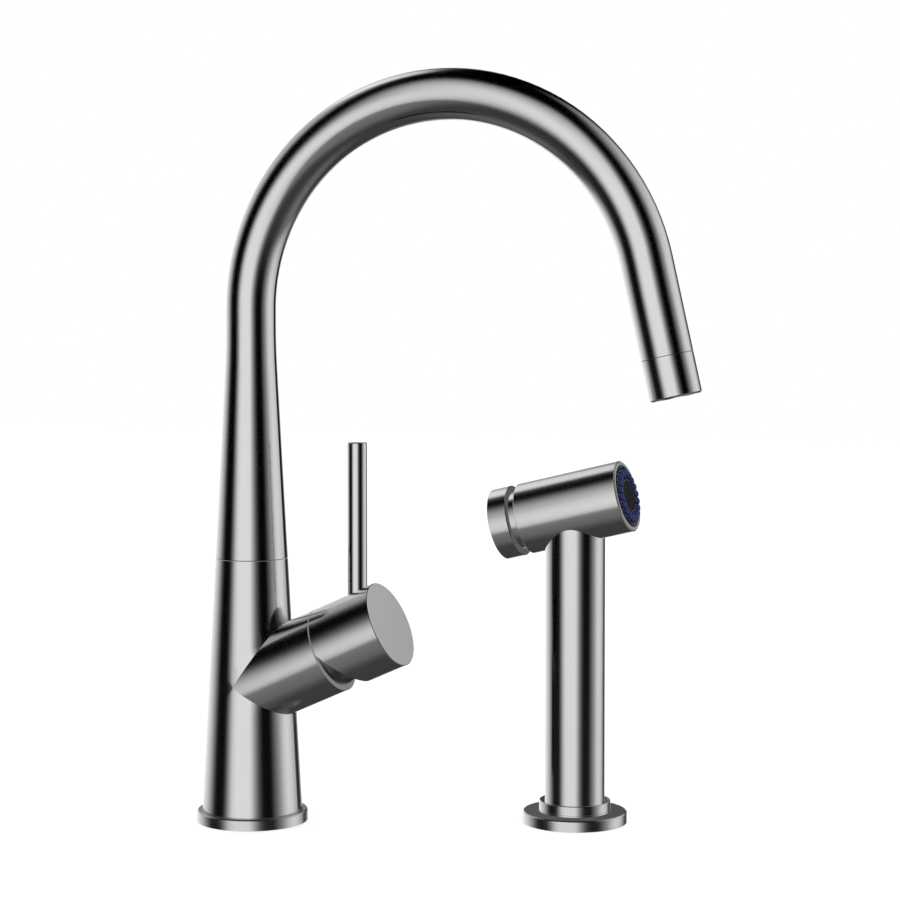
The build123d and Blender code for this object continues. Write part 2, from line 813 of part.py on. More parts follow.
dome_end = pivot_t + dome_height
dome_inner_r = dome_r - dome_wall
with BuildPart() as cartridge_dome:
    with BuildSketch(barrel_section):
        with BuildLine():
            outer = RadiusArc(
                (sqrt(dome_r**2 - (housing_end - pivot_t) ** 2), housing_end),
                (sqrt(dome_r**2 - dome_height**2), dome_end),
                -dome_r,
            )
            inner = RadiusArc(
                (sqrt(dome_inner_r**2 - dome_height**2), dome_end),
                (dome_inner_r, pivot_t),
                dome_inner_r,
            )
            Line(outer @ 1, inner @ 0)
            Polyline(
                inner @ 1,
                (dome_inner_r, housing_end - dome_skirt),
                (chamber_r - assembly_fit, housing_end - dome_skirt),
                (chamber_r - assembly_fit, housing_end),
                outer @ 0,
            )
        make_face()
    revolve(axis=barrel_axis)

# ================================================================ handle
with BuildPart() as handle_cap:
    with BuildSketch(barrel_section):
        with BuildLine():
            Polyline(
                (0, cap_end),
                (barrel_r - cap_edge, cap_end),
                (barrel_r, cap_end - cap_edge),
                (barrel_r, cap_start),
                (cap_bore_r, cap_start),
                (cap_bore_r, cap_end - cap_end_wall),
                (cap_boss_r, cap_end - cap_end_wall),
                (cap_boss_r, cap_boss_start),
                (0, cap_boss_start),
                close=True,
            )
        make_face()
    revolve(axis=barrel_axis)
    # relief under the cap, which lets it dip past the housing when the lever is lifted
    side_view = Plane(origin=(0, 0, barrel_z), x_dir=barrel_dir, z_dir=(0, -1, 0))
    with BuildSketch(side_view):
        with BuildLine():
            Polyline(
                (cap_start, 0),
                (cap_start + cap_relief_slope * 2 * barrel_r, -2 * barrel_r),
                (cap_start - 1, -2 * barrel_r),
                (cap_start - 1, 0),
                close=True,
            )
        make_face()
    extrude(amount=2 * barrel_r, both=True, mode=Mode.SUBTRACT)
    with BuildSketch(on_barrel(cap_boss_start)):
        Rectangle(stem_w + 2 * running_fit, stem_w + 2 * running_fit)
    extrude(amount=stem_end - cap_boss_start + body_gap, mode=Mode.SUBTRACT)
    lever_root_z = barrel_z + (lever_x * sin(tilt) + barrel_r) / cos(tilt)
    with BuildSketch(Plane.XY.offset(lever_root_z - lever_shoulder)):
        with Locations((lever_x, 0)):
            Circle(lever_r + running_fit)
    extrude(amount=3 * lever_r, mode=Mode.SUBTRACT)
    with BuildSketch(Plane.XY.offset(lever_root_z - lever_shoulder - lever_thread_l)):
        with Locations((lever_x, 0)):
            Circle(lever_thread_r + running_fit)
    extrude(amount=lever_thread_l, mode=Mode.SUBTRACT)
    under_cap = Plane(
        origin=Vector(0, 0, barrel_z) + Vector(*barrel_dir) * clamp_screw_t,
        x_dir=(0, 1, 0),
        z_dir=(sin(tilt), 0, -cos(tilt)),
    )
    with BuildSketch(under_cap):
        Circle(clamp_screw_r + running_fit)
    extrude(amount=barrel_r + 1, mode=Mode.SUBTRACT)

with BuildPart() as lever:
    with BuildSketch(Plane.XY.offset(lever_root_z - lever_shoulder)):
        with Locations((lever_x, 0)):
            Circle(lever_r)
    extrude(amount=lever_top_z - lever_root_z + lever_shoulder)
    chamfer(lever.edges().group_by(Axis.Z)[-1], lever_edge)
    with BuildSketch(Plane.XY.offset(lever_root_z - lever_shoulder - lever_thread_l)):
        with Locations((lever_x, 0)):
            Circle(lever_thread_r)
    extrude(amount=lever_thread_l)

with BuildPart() as handle_screw:
    with BuildSketch(under_cap.offset(stem_w / 2 + running_fit)):
        Circle(clamp_screw_r)
    extrude(amount=clamp_screw_l)
    with BuildSketch(under_cap.offset(stem_w / 2 + clamp_screw_l - 2)):
        RegularPolygon(clamp_screw_r / 2, 6)
    extrude(amount=3, mode=Mode.SUBTRACT)

with BuildPart() as handle_plug:
    with BuildSketch(under_cap.offset(barrel_r - plug_t - 0.2)):
        Circle(clamp_screw_r)
    extrude(amount=plug_t)

# ================================================================ spray holder
with BuildPart() as holder_flange:
    with BuildSketch(spray_section):
        with BuildLine():
            Polyline(
                (holder_thread_r, 0),
                (holder_gasket_inner_r, 0),
                (holder_gasket_inner_r, gasket_t),
                (holder_gasket_outer_r, gasket_t),
                (holder_gasket_outer_r, 0),
                (holder_r, 0),
                (holder_r, holder_t - holder_edge),
                (holder_r - holder_edge, holder_t),
                (collar_r, holder_t),
                (collar_r, holder_t + holder_step_t),
                (ledge_bore_r, holder_t + holder_step_t),
                (ledge_bore_r, holder_thread_l),
                (holder_thread_r, holder_thread_l),
                close=True,
            )
        make_face()
    revolve(axis=spray_axis)
    with BuildSketch(Plane.XY.offset(holder_thread_l + ledge_t)):
        with Locations((spray_x, spray_y)):
            Circle(glide_outer_r + running_fit)
    extrude(amount=holder_t, mode=Mode.SUBTRACT)

with BuildPart() as holder_gasket:
    with BuildSketch():
        with Locations((spray_x, spray_y)):
            Circle(holder_gasket_outer_r)
            Circle(holder_gasket_inner_r, mode=Mode.SUBTRACT)
    extrude(amount=gasket_t)

collar_bottom_z = holder_t + holder_step_t + collar_seam
glide_top_z = collar_top_z - collar_mouth - collar_lip_t - body_gap
with BuildPart() as holder_collar:
    with BuildSketch(spray_section):
        with BuildLine():
            Polyline(
                (glide_outer_r + running_fit, collar_bottom_z),
                (collar_r, collar_bottom_z),
                (collar_r, collar_top_z - holder_edge / 2),
                (collar_r - holder_edge / 2, collar_top_z),
                (glide_outer_r + running_fit, collar_top_z),
                (glide_outer_r + running_fit, collar_top_z - collar_mouth),
                (glide_outer_r - collar_lip_w, collar_top_z - collar_mouth),
                (glide_outer_r - collar_lip_w, glide_top_z + body_gap),
                (glide_outer_r + running_fit, glide_top_z + body_gap),
                close=True,
            )
        make_face()
    revolve(axis=spray_axis)

with BuildPart() as glide_ring:
    with BuildSketch(Plane.XY.offset(handset_bottom_z)):
        with Locations((spray_x, spray_y)):
            Circle(glide_outer_r)
            Circle(handset_r + running_fit, mode=Mode.SUBTRACT)
    extrude(amount=glide_top_z - handset_bottom_z)

# ================================================================ hand spray
with BuildPart() as handset_tube:
    with BuildSketch(Plane.XY.offset(handset_bottom_z)):
        with Locations((spray_x, spray_y)):
            Circle(handset_r)
            Circle(handset_bore_r, mode=Mode.SUBTRACT)
    extrude(amount=head_z - handset_bottom_z)
    with BuildSketch(on_head(head_rear)):
        Circle(head_r)
    extrude(amount=head_front - head_rear, mode=Mode.SUBTRACT)

stub_bottom_z = head_z - head_r - stub_l
with BuildPart() as spray_head:
    with BuildSketch(head_section):
        with BuildLine():
            Polyline(
                (0, neck_end),
                (neck_r, neck_end),
                (neck_r, head_rear),
                (head_r - head_edge, head_rear),
                (head_r, head_rear + head_edge),
                (head_r, head_front - head_rim_edge),
                (head_r - head_rim_edge, head_front),
                (0, head_front),
                close=True,
            )
        make_face()
    revolve(axis=head_axis)
    with BuildSketch(Plane.XY.offset(stub_bottom_z)):
        with Locations((spray_x, spray_y)):
            Circle(stub_r)
    extrude(amount=head_z - stub_bottom_z)
    with BuildSketch(on_head(head_rear + head_rear_wall)):
        Circle(head_bore_r)
    extrude(amount=head_front - head_rear, mode=Mode.SUBTRACT)
    with BuildSketch(on_head(neck_end)):
        Circle(gland_r + running_fit)
    extrude(amount=gland_t, mode=Mode.SUBTRACT)
    with BuildSketch(on_head(neck_end)):
        Circle(piston_r + running_fit)
    extrude(amount=head_rear - neck_end + 2 * head_rear_wall, mode=Mode.SUBTRACT)
    with BuildSketch(Plane.XY.offset(stub_bottom_z)):
        with Locations((spray_x, spray_y)):
            Circle(water_tube_r + running_fit)
    extrude(amount=head_z - stub_bottom_z, mode=Mode.SUBTRACT)

with BuildPart() as rod_gland:
    with BuildSketch(on_head(neck_end)):
        Circle(gland_r)
        Circle(piston_r + running_fit, mode=Mode.SUBTRACT)
    extrude(amount=gland_t)

with BuildPart() as hose_socket:
    with BuildSketch(spray_section):
        with BuildLine():
            Polyline(
                (hose_thread_r, handset_bottom_z),
                (handset_bore_r - assembly_fit, handset_bottom_z),
                (handset_bore_r - assembly_fit, hose_socket_top_z),
                (check_valve_r + running_fit, hose_socket_top_z),
                (check_valve_r + running_fit, handset_bottom_z + hose_thread_l),
                (hose_thread_r, handset_bottom_z + hose_thread_l),
                close=True,
            )
        make_face()
    revolve(axis=spray_axis)
    # the socket's upper end takes the water tube
    with BuildSketch(Plane.XY.offset(water_tube_bottom_z)):
        with Locations((spray_x, spray_y)):
            Circle(water_tube_r + running_fit)
    extrude(amount=pipe_seat, mode=Mode.SUBTRACT)

with BuildPart() as check_valve:
    with BuildSketch(Plane.XY.offset(check_valve_z)):
        with Locations((spray_x, spray_y)):
            Circle(check_valve_r)
            Circle(check_valve_r - 1.4, mode=Mode.SUBTRACT)
    extrude(amount=check_valve_l)
    with BuildSketch(Plane.XY.offset(check_valve_z + check_valve_l / 2)):
        with Locations((spray_x, spray_y)):
            Circle(check_valve_r - 1.4)
            with PolarLocations(2.6, 4):
                Circle(0.9, mode=Mode.SUBTRACT)
    extrude(amount=1.2)

with BuildPart() as water_tube:
    with BuildSketch(Plane.XY.offset(water_tube_bottom_z)):
        with Locations((spray_x, spray_y)):
            Circle(water_tube_r)
            Circle(water_tube_bore_r, mode=Mode.SUBTRACT)
    extrude(amount=stub_bottom_z + stub_l - 1 - water_tube_bottom_z)

with BuildPart() as tube_seal:
    with Locations((spray_x, spray_y, stub_bottom_z - seal_wire_r - running_fit)):
        Torus(water_tube_r + seal_wire_r + running_fit, seal_wire_r)

# ================================================================ spray valve
with BuildPart() as valve_seat:
    with BuildSketch(head_section):
        with BuildLine():
            Polyline(
                (seat_bore_r, seat_start),
                (head_bore_r - assembly_fit, seat_start),
                (head_bore_r - assembly_fit, seat_start + seat_t),
                (seat_bore_r, seat_start + seat_t),
                close=True,
            )
        make_face()
        with Locations((head_bore_r - assembly_fit, seat_start + seat_t / 2)):
            Rectangle(4 * seal_wire_r, seal_groove_w, mode=Mode.SUBTRACT)
    revolve(axis=head_axis)

with BuildPart() as seat_seal:
    with Locations(on_head(seat_start + seat_t / 2).location):
        Torus(head_bore_r - assembly_fit - seal_wire_r, seal_wire_r - running_fit)

poppet_start = seat_start + seat_t + poppet_seal_gap + poppet_seal_t
with BuildPart() as push_rod:
    with BuildSketch(on_head(button_rear + button_wall / 2)):
        Circle(rod_r)
    extrude(amount=poppet_start - button_rear - button_wall / 2)
    with BuildSketch(on_head(button_rear + button_wall)):
        Circle(piston_r)
    extrude(amount=piston_end - button_rear - button_wall)
    with BuildSketch(on_head(poppet_start)):
        Circle(poppet_r)
    extrude(amount=poppet_t)

with BuildPart() as poppet_seal:
    with BuildSketch(on_head(poppet_start - poppet_seal_t)):
        Circle(poppet_r)
        Circle(rod_r + running_fit, mode=Mode.SUBTRACT)
    extrude(amount=poppet_seal_t)

with BuildPart() as push_button:
    with BuildSketch(head_section):
        with BuildLine():
            Polyline(
                (0, button_rear),
                (head_r - button_edge, button_rear),
                (head_r, button_rear + button_edge),
                (head_r, button_front - button_edge),
                (head_r - button_edge, button_front),
                (neck_r + 2 * running_fit, button_front),
                (neck_r + 2 * running_fit, button_rear + button_wall),
                (0, button_rear + button_wall),
                close=True,
            )
        make_face()
    revolve(axis=head_axis)
    with BuildSketch(on_head(button_rear + button_wall / 2)):
        Circle(rod_r)
    extrude(amount=button_wall, mode=Mode.SUBTRACT)

with BuildPart() as valve_spring:
    coil_start = poppet_start + poppet_t + valve_spring_wire_r
    coil_end = spray_plate_start - spray_boss_l - valve_spring_wire_r
    coil_l = coil_end - coil_start
    with BuildLine():
        valve_coil = Helix(
            coil_l / valve_spring_turns,
            coil_l,
            valve_spring_r,
            center=on_head(coil_start).origin,
            direction=head_dir,
        )
    with BuildSketch(Plane(origin=valve_coil @ 0, z_dir=valve_coil % 0)):
        Circle(valve_spring_wire_r)
    sweep(is_frenet=True)

# ================================================================ spray face
with BuildPart() as spray_plate:
    with BuildSketch(on_head(spray_plate_start)):
        Circle(head_bore_r - assembly_fit)
        with PolarLocations(nozzle_pitch_r, nozzle_count):
            Circle(nozzle_base_r + running_fit, mode=Mode.SUBTRACT)
    extrude(amount=spray_plate_t)
    with BuildSketch(on_head(spray_plate_start - spray_boss_l)):
        Circle(spray_boss_r)
    extrude(amount=spray_boss_l)

# The silicone is moulded through the plate: a ring behind it, a pad on its face, and the nozzles.
face_t = spray_plate_start + spray_plate_t
with BuildPart() as nozzle_ring:
    with BuildSketch(on_head(spray_plate_start - spray_boss_l)):
        Circle(nozzle_ring_outer_r)
        Circle(nozzle_ring_inner_r, mode=Mode.SUBTRACT)
    extrude(amount=spray_boss_l)
    with BuildSketch(on_head(spray_plate_start)):
        with PolarLocations(nozzle_pitch_r, nozzle_count):
            Circle(nozzle_base_r)
    extrude(amount=spray_plate_t)
    with BuildSketch(on_head(face_t)):
        Circle(pad_outer_r)
        Circle(pad_inner_r, mode=Mode.SUBTRACT)
    extrude(amount=pad_t)
    nozzle_l = nozzle_end - face_t - pad_t
    with BuildSketch(on_head(face_t + pad_t)):
        with PolarLocations(nozzle_pitch_r, nozzle_count):
            Circle(nozzle_base_r)
    extrude(amount=nozzle_l, taper=degrees(atan2(nozzle_base_r - nozzle_tip_r, nozzle_l)))
    with BuildSketch(on_head(spray_plate_start - spray_boss_l)):
        with PolarLocations(nozzle_pitch_r, nozzle_count):
            Circle(nozzle_bore_r)
    extrude(amount=nozzle_end - spray_plate_start + spray_boss_l, mode=Mode.SUBTRACT)

with BuildPart() as centre_insert:
    with BuildSketch(on_head(face_t)):
        Circle(centre_r)
    extrude(amount=centre_t)

with BuildPart() as centre_ring:
    with BuildSketch(on_head(face_t)):
        Circle(centre_ring_r)
        Circle(centre_r + running_fit / 2, mode=Mode.SUBTRACT)
    extrude(amount=centre_ring_t)

with BuildPart() as trim_ring:
    with BuildSketch(on_head(face_t)):
        Circle(head_bore_r - running_fit)
        Circle(trim_inner_r, mode=Mode.SUBTRACT)
    extrude(amount=trim_t)

# ================================================================ files
pieces = {
    "escutcheon": escutcheon,
    "deck_gasket": deck_gasket,
    "base_insert": base_insert,
    "hot_pipe": hot_pipe,
    "cold_pipe": cold_pipe,
    "spray_pipe": spray_pipe,
    "mixer_body": mixer_body,
    "valve_core": valve_core,
    "swivel_spigot": swivel_spigot,
    "swivel_seals": swivel_seals,
    "slide_ring": slide_ring,
    "spout_circlip": spout_circlip,
    "spout_bush": spout_bush,
    "diverter_cage": diverter_cage,
    "diverter_piston": diverter_piston,
    "diverter_spring": diverter_spring,
    "spout": spout,
    "spout_screw": spout_screw,
    "aerator_sleeve": aerator_sleeve,
    "sleeve_washer": sleeve_washer,
    "aerator_seal": aerator_seal,
    "aerator_insert": aerator_insert,
    "port_seals": port_seals,
    "cartridge_base": cartridge_base,
    "fixed_disc": fixed_disc,
    "moving_disc": moving_disc,
    "disc_carrier": disc_carrier,
    "cartridge_housing": cartridge_housing,
    "rotor": rotor,
    "pivot_pin": pivot_pin,
    "stem": stem,
    "cartridge_nut": cartridge_nut,
    "cartridge_dome": cartridge_dome,
    "handle_cap": handle_cap,
    "lever": lever,
    "handle_screw": handle_screw,
    "handle_plug": handle_plug,
    "holder_flange": holder_flange,
    "holder_gasket": holder_gasket,
    "holder_collar": holder_collar,
    "glide_ring": glide_ring,
    "handset_tube": handset_tube,
    "spray_head": spray_head,
    "rod_gland": rod_gland,
    "hose_socket": hose_socket,
    "check_valve": check_valve,
    "water_tube": water_tube,
    "tube_seal": tube_seal,
    "valve_seat": valve_seat,
    "seat_seal": seat_seal,
    "push_rod": push_rod,
    "poppet_seal": poppet_seal,
    "push_button": push_button,
    "valve_spring": valve_spring,
    "spray_plate": spray_plate,
    "nozzle_ring": nozzle_ring,
    "centre_insert": centre_insert,
    "centre_ring": centre_ring,
    "trim_ring": trim_ring,
}
for name, piece in pieces.items():
    piece.part.label = name
    export_step(piece.part, f"parts/{name}.step")
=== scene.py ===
import math

import bpy
import numpy as np
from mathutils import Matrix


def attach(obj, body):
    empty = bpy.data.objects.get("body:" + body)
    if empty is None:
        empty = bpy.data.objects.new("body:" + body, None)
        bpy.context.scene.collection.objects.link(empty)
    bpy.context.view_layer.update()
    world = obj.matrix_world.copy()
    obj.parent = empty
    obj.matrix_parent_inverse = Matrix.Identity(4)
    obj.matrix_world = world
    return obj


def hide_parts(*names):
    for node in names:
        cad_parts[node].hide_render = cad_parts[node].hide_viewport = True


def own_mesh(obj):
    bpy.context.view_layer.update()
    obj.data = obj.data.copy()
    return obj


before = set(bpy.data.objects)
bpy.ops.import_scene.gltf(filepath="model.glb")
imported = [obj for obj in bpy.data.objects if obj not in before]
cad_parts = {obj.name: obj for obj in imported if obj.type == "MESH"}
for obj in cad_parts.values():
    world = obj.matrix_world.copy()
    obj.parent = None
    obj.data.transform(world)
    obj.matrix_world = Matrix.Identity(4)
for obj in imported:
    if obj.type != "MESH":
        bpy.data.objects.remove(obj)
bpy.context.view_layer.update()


# ------------------------------------------------------------------ camera
# The photograph's eye: a long lens a little over a metre away, to the right of square-on and just
# above the lever, looking slightly down.
VIEW_AZIMUTH = 21.016
camera = bpy.data.objects.new("camera", bpy.data.cameras.new("camera"))
bpy.context.scene.collection.objects.link(camera)
camera.location = (0.49323, -1.01666, 0.25393)
camera.rotation_euler = (math.radians(90 - 2.242), 0, math.radians(VIEW_AZIMUTH))
camera.data.lens = 93.53
camera.data.sensor_width = 36
camera.data.shift_y = -0.0701
camera.data.clip_start = 0.01
bpy.context.scene.camera = camera
bpy.context.scene.view_settings.view_transform = "Standard"


# ------------------------------------------------------------------ studio
# A white cove behind the object and to its left, a broad soft light behind the camera and one to the
# right, with black flags between them, a black ceiling and a grey table. Steel shows these as bands.
def feed(tree, socket, given):
    """Set an input to a constant, or link it to another node's output."""
    if isinstance(given, (int, float, tuple)):
        socket.default_value = given
    else:
        tree.links.new(given, socket)


def math_node(tree, kind, a, b=None, c=None):
    """One Math node; a, b and c are sockets or numbers."""
    node = tree.nodes.new("ShaderNodeMath")
    node.operation = kind
    for socket, given in zip(node.inputs, (a, b, c)):
        if given is not None:
            feed(tree, socket, given)
    return node.outputs[0]


def range_node(tree, value, low, high, start=0.0, end=1.0):
    """A smooth step: start where value is low, end where it is high."""
    node = tree.nodes.new("ShaderNodeMapRange")
    node.interpolation_type = "SMOOTHSTEP"
    names = ("Value", "From Min", "From Max", "To Min", "To Max")
    for name, given in zip(names, (value, low, high, start, end)):
        feed(tree, node.inputs[name], given)
    return node.outputs["Result"]


def excess(tree, value, start):
    """How far a value lies past start, or 0."""
    return math_node(tree, "MAXIMUM", math_node(tree, "SUBTRACT", value, start), 0.0)


def ramp_node(tree, factor, span, stops):
    """A Color Ramp over span degrees, with 0 in its middle; the stops are (degrees, brightness)."""
    node = tree.nodes.new("ShaderNodeValToRGB")
    elements = node.color_ramp.elements
    node.color_ramp.interpolation = "LINEAR"
    while len(elements) > 1:
        elements.remove(elements[0])
    for count, (degrees, value) in enumerate(stops):
        element = elements.new(degrees / span + 0.5) if count else elements[0]
        element.position = degrees / span + 0.5
        element.color = (value, value, value, 1)
    tree.links.new(factor, node.inputs[0])
    return node.outputs[0]


SIDE_SPAN, RISE_SPAN = 360, 180  # degrees that the ramps for side and height cover
world = bpy.data.worlds.new("studio")
bpy.context.scene.world = world
world.use_nodes = True
world.cycles.sampling_method = "NONE"
sky = world.node_tree
sky.nodes.clear()
look = sky.nodes.new("ShaderNodeTexCoord")
turn = sky.nodes.new("ShaderNodeVectorRotate")
turn.rotation_type = "Z_AXIS"
turn.inputs["Angle"].default_value = -math.radians(VIEW_AZIMUTH)
sky.links.new(look.outputs["Generated"], turn.inputs["Vector"])
parts = sky.nodes.new("ShaderNodeSeparateXYZ")
sky.links.new(turn.outputs[0], parts.inputs[0])
# in degrees; side: 0 behind the object, -90 left, 90 right, 180 behind the camera
side = math_node(sky, "ARCTAN2", parts.outputs["X"], parts.outputs["Y"])
side = math_node(sky, "MULTIPLY", side, 180 / math.pi)
up = math_node(sky, "MULTIPLY", math_node(sky, "ARCSINE", parts.outputs["Z"]), 180 / math.pi)
height = math_node(sky, "MULTIPLY_ADD", up, 1 / RISE_SPAN, 0.5)

# the soft light behind the camera and the one to the right, whose left edge leans a little
bow = math_node(sky, "MINIMUM", math_node(sky, "MAXIMUM", up, -20.0), 20.0)
bow = math_node(sky, "MULTIPLY", bow, 0.3)
kick = math_node(sky, "MULTIPLY", range_node(sky, up, 7.0, 16.0), 7.0)
bow = math_node(sky, "MULTIPLY", math_node(sky, "ADD", bow, kick), range_node(sky, side, 20.0, 30.0))
bow = math_node(sky, "MULTIPLY", bow, range_node(sky, side, 72.0, 88.0, 1.0, 0.0))
flare = math_node(sky, "MULTIPLY", excess(sky, up, 20.0), -0.4)
flare = math_node(sky, "MULTIPLY", flare, range_node(sky, side, -90.0, -80.0, 1.0, 0.0))
bowed = math_node(sky, "ADD", math_node(sky, "ADD", side, bow), flare)
bowed = math_node(sky, "MULTIPLY_ADD", bowed, 1 / SIDE_SPAN, 0.5)
light_stops = (
    (-180, 1.0), (-145, 1.0), (-135, 0.82), (-122, 0.18), (-114, 0.0), (34, 0.0), (42, 0.16), (52, 0.58),
    (64, 0.84), (80, 0.92), (92, 0.76), (106, 0.36), (119, 0.12), (129, 0.0), (151, 0.0), (161, 0.1),
    (170, 0.42), (179.5, 0.9),
)
lights = ramp_node(sky, bowed, SIDE_SPAN, light_stops)
# the cove: its right edge leans over to the left as it rises, and its left edge to the right
over = math_node(sky, "MULTIPLY", excess(sky, up, 25.0), -0.3)
over = math_node(sky, "MULTIPLY", over, range_node(sky, side, -45.0, -30.0, 1.0, 0.0))
lean = math_node(sky, "MULTIPLY", excess(sky, up, -12.0), 0.6)
over = math_node(sky, "ADD", over, math_node(sky, "MULTIPLY", lean, range_node(sky, side, -40.0, -20.0)))
over = math_node(sky, "MULTIPLY_ADD", math_node(sky, "ADD", side, over), 1 / SIDE_SPAN, 0.5)
cove_stops = (
    (-95, 0.0), (-87, 0.01), (-78, 0.16), (-66, 0.48), (-52, 0.8), (-36, 1.0), (-20, 1.15), (-6, 1.15),
    (4, 0.9), (14, 0.5), (24, 0.17), (32, 0.0),
)
cove = ramp_node(sky, over, SIDE_SPAN, cove_stops)
cove_low = range_node(sky, up, -31.0, -17.0)
cove_high = range_node(sky, up, 50.0, 62.0, 1.0, 0.0)
cove_wall = math_node(sky, "MULTIPLY", math_node(sky, "MULTIPLY", cove_low, cove_high), cove)
dimmer = math_node(sky, "MULTIPLY", range_node(sky, up, 6.0, 24.0), range_node(sky, side, -60.0, -35.0))
cove_wall = math_node(sky, "MULTIPLY", cove_wall, math_node(sky, "MULTIPLY_ADD", dimmer, -0.38, 1.0))
walls = math_node(sky, "ADD", lights, cove_wall)
# both fade towards the table and the ceiling
rise_stops = (
    (-33, 0.0), (-28, 0.42), (-24, 0.7), (-18, 0.86), (-8, 0.98), (0, 1.0), (15, 0.98), (25, 0.89),
    (35, 0.74), (45, 0.56), (55, 0.33), (62, 0.12), (68, 0.0),
)
rise = ramp_node(sky, height, RISE_SPAN, rise_stops)
# a small light high up behind, to the left; lower down its left edge leans to the right
tip = math_node(sky, "ADD", excess(sky, up, 42.0), side)
drop = math_node(sky, "MAXIMUM", math_node(sky, "SUBTRACT", 46.0, up), 0.0)
drop = math_node(sky, "MULTIPLY", drop, 1.3)
patch_left = range_node(sky, math_node(sky, "SUBTRACT", side, drop), -56.0, -42.0)
patch_side = math_node(sky, "MULTIPLY", patch_left, range_node(sky, tip, -14.0, -3.0, 1.0, 0.0))
patch_top = range_node(sky, up, 52.0, 62.0, 1.0, 0.0)
patch_up = math_node(sky, "MULTIPLY", range_node(sky, up, 16.0, 34.0), patch_top)
patch = math_node(sky, "MULTIPLY", math_node(sky, "MULTIPLY", patch_side, patch_up), 0.65)
# the table: dark below, brighter where the walls light it
base_stops = ((-90, 0.062), (-45, 0.055), (-30, 0.045), (-20, 0.024), (-8, 0.003), (0, 0.0))
base = ramp_node(sky, height, RISE_SPAN, base_stops)
bounce_stops = ((-82, 0.0), (-70, 0.05), (-60, 0.11), (-42, 0.15), (-35, 0.18), (-29, 0.0))
bounce = ramp_node(sky, height, RISE_SPAN, bounce_stops)
cove_floor = math_node(sky, "MULTIPLY", cove, range_node(sky, side, -55.0, 5.0, 0.8, 0.0))
table = math_node(sky, "MULTIPLY", math_node(sky, "ADD", lights, cove_floor), bounce)
extra = math_node(sky, "ADD", math_node(sky, "ADD", patch, base), table)
lit = math_node(sky, "MULTIPLY_ADD", walls, rise, extra)
# matt surfaces get an even light, and the camera sees white
path = sky.nodes.new("ShaderNodeLightPath")
plain = sky.nodes.new("ShaderNodeMix")
plain.data_type = "RGBA"
plain.inputs["B"].default_value = (0.9, 0.9, 0.9, 1)
sky.links.new(path.outputs["Is Diffuse Ray"], plain.inputs["Factor"])
sky.links.new(lit, plain.inputs["A"])
white = sky.nodes.new("ShaderNodeMix")
white.data_type = "RGBA"
white.inputs["B"].default_value = (1, 1, 1, 1)
sky.links.new(path.outputs["Is Camera Ray"], white.inputs["Factor"])
sky.links.new(plain.outputs["Result"], white.inputs["A"])
glow = sky.nodes.new("ShaderNodeBackground")
sky.links.new(white.outputs["Result"], glow.inputs["Color"])
out = sky.nodes.new("ShaderNodeOutputWorld")
sky.links.new(glow.outputs[0], out.inputs["Surface"])

# The worktop under both pieces: a plain white sheet that keeps a soft shadow, just below their feet.
SHEET_HALF, SHEET_DROP, SHEET_GREY, SHEET_GLOW = 3.0, 0.0002, 0.45, 0.72
floor_mesh = bpy.data.meshes.new("floor")
corners = [(a * SHEET_HALF, b * SHEET_HALF, 0) for a, b in ((-1, -1), (1, -1), (1, 1), (-1, 1))]
floor_mesh.from_pydata(corners, [], [(0, 1, 2, 3)])
floor = bpy.data.objects.new("floor", floor_mesh)
bpy.context.scene.collection.objects.link(floor)
floor.location.z = -SHEET_DROP
floor.visible_glossy = False
sheet = bpy.data.materials.new("white_sheet")
sheet.use_nodes = True
floor_mesh.materials.append(sheet)
tree = sheet.node_tree
tree.nodes.clear()
matt = tree.nodes.new("ShaderNodeBsdfDiffuse")
matt.inputs["Color"].default_value = (SHEET_GREY, SHEET_GREY, SHEET_GREY, 1)
lift = tree.nodes.new("ShaderNodeEmission")
lift.inputs["Strength"].default_value = SHEET_GLOW
eye = tree.nodes.new("ShaderNodeLightPath")
lift_mix = tree.nodes.new("ShaderNodeMixShader")
nothing = tree.nodes.new("ShaderNodeEmission")
nothing.inputs["Strength"].default_value = 0
tree.links.new(eye.outputs["Is Camera Ray"], lift_mix.inputs[0])
tree.links.new(nothing.outputs[0], lift_mix.inputs[1])
tree.links.new(lift.outputs[0], lift_mix.inputs[2])
both = tree.nodes.new("ShaderNodeAddShader")
tree.links.new(matt.outputs[0], both.inputs[0])
tree.links.new(lift_mix.outputs[0], both.inputs[1])
end = tree.nodes.new("ShaderNodeOutputMaterial")
tree.links.new(both.outputs[0], end.inputs["Surface"])


# ------------------------------------------------------------------ base flange
# A turned ring of satin stainless steel that covers the deck hole, on a black rubber gasket. It is
# brushed round its axis, so its grain runs along the rim. The body is screwed down on to it.
def start_group(name, takes, gives):
    """An empty shader node group; takes is {name: (kind, default)} and gives is {name: kind}."""
    tree = bpy.data.node_groups.new(name, "ShaderNodeTree")
    for label, (kind, value) in takes.items():
        socket = tree.interface.new_socket(label, in_out="INPUT", socket_type=kind)
        if value is not None:
            socket.default_value = value
    for label, kind in gives.items():
        tree.interface.new_socket(label, in_out="OUTPUT", socket_type=kind)
    return tree, tree.nodes.new("NodeGroupInput").outputs, tree.nodes.new("NodeGroupOutput").inputs


def place_group(tree, group, **given):
    """Put a node group in a material; given are numbers or sockets by input name."""
    node = tree.nodes.new("ShaderNodeGroup")
    node.node_tree = group
    for name, value in given.items():
        feed(tree, node.inputs[name.replace("_", " ")], value)
    return node.outputs


def vector_node(tree, kind, a, b):
    """One Vector Math node; a and b are sockets or triples."""
    node = tree.nodes.new("ShaderNodeVectorMath")
    node.operation = kind
    for socket, given in zip(node.inputs, (a, b)):
        feed(tree, socket, given)
    return node.outputs["Value"] if kind == "DOT_PRODUCT" else node.outputs["Vector"]


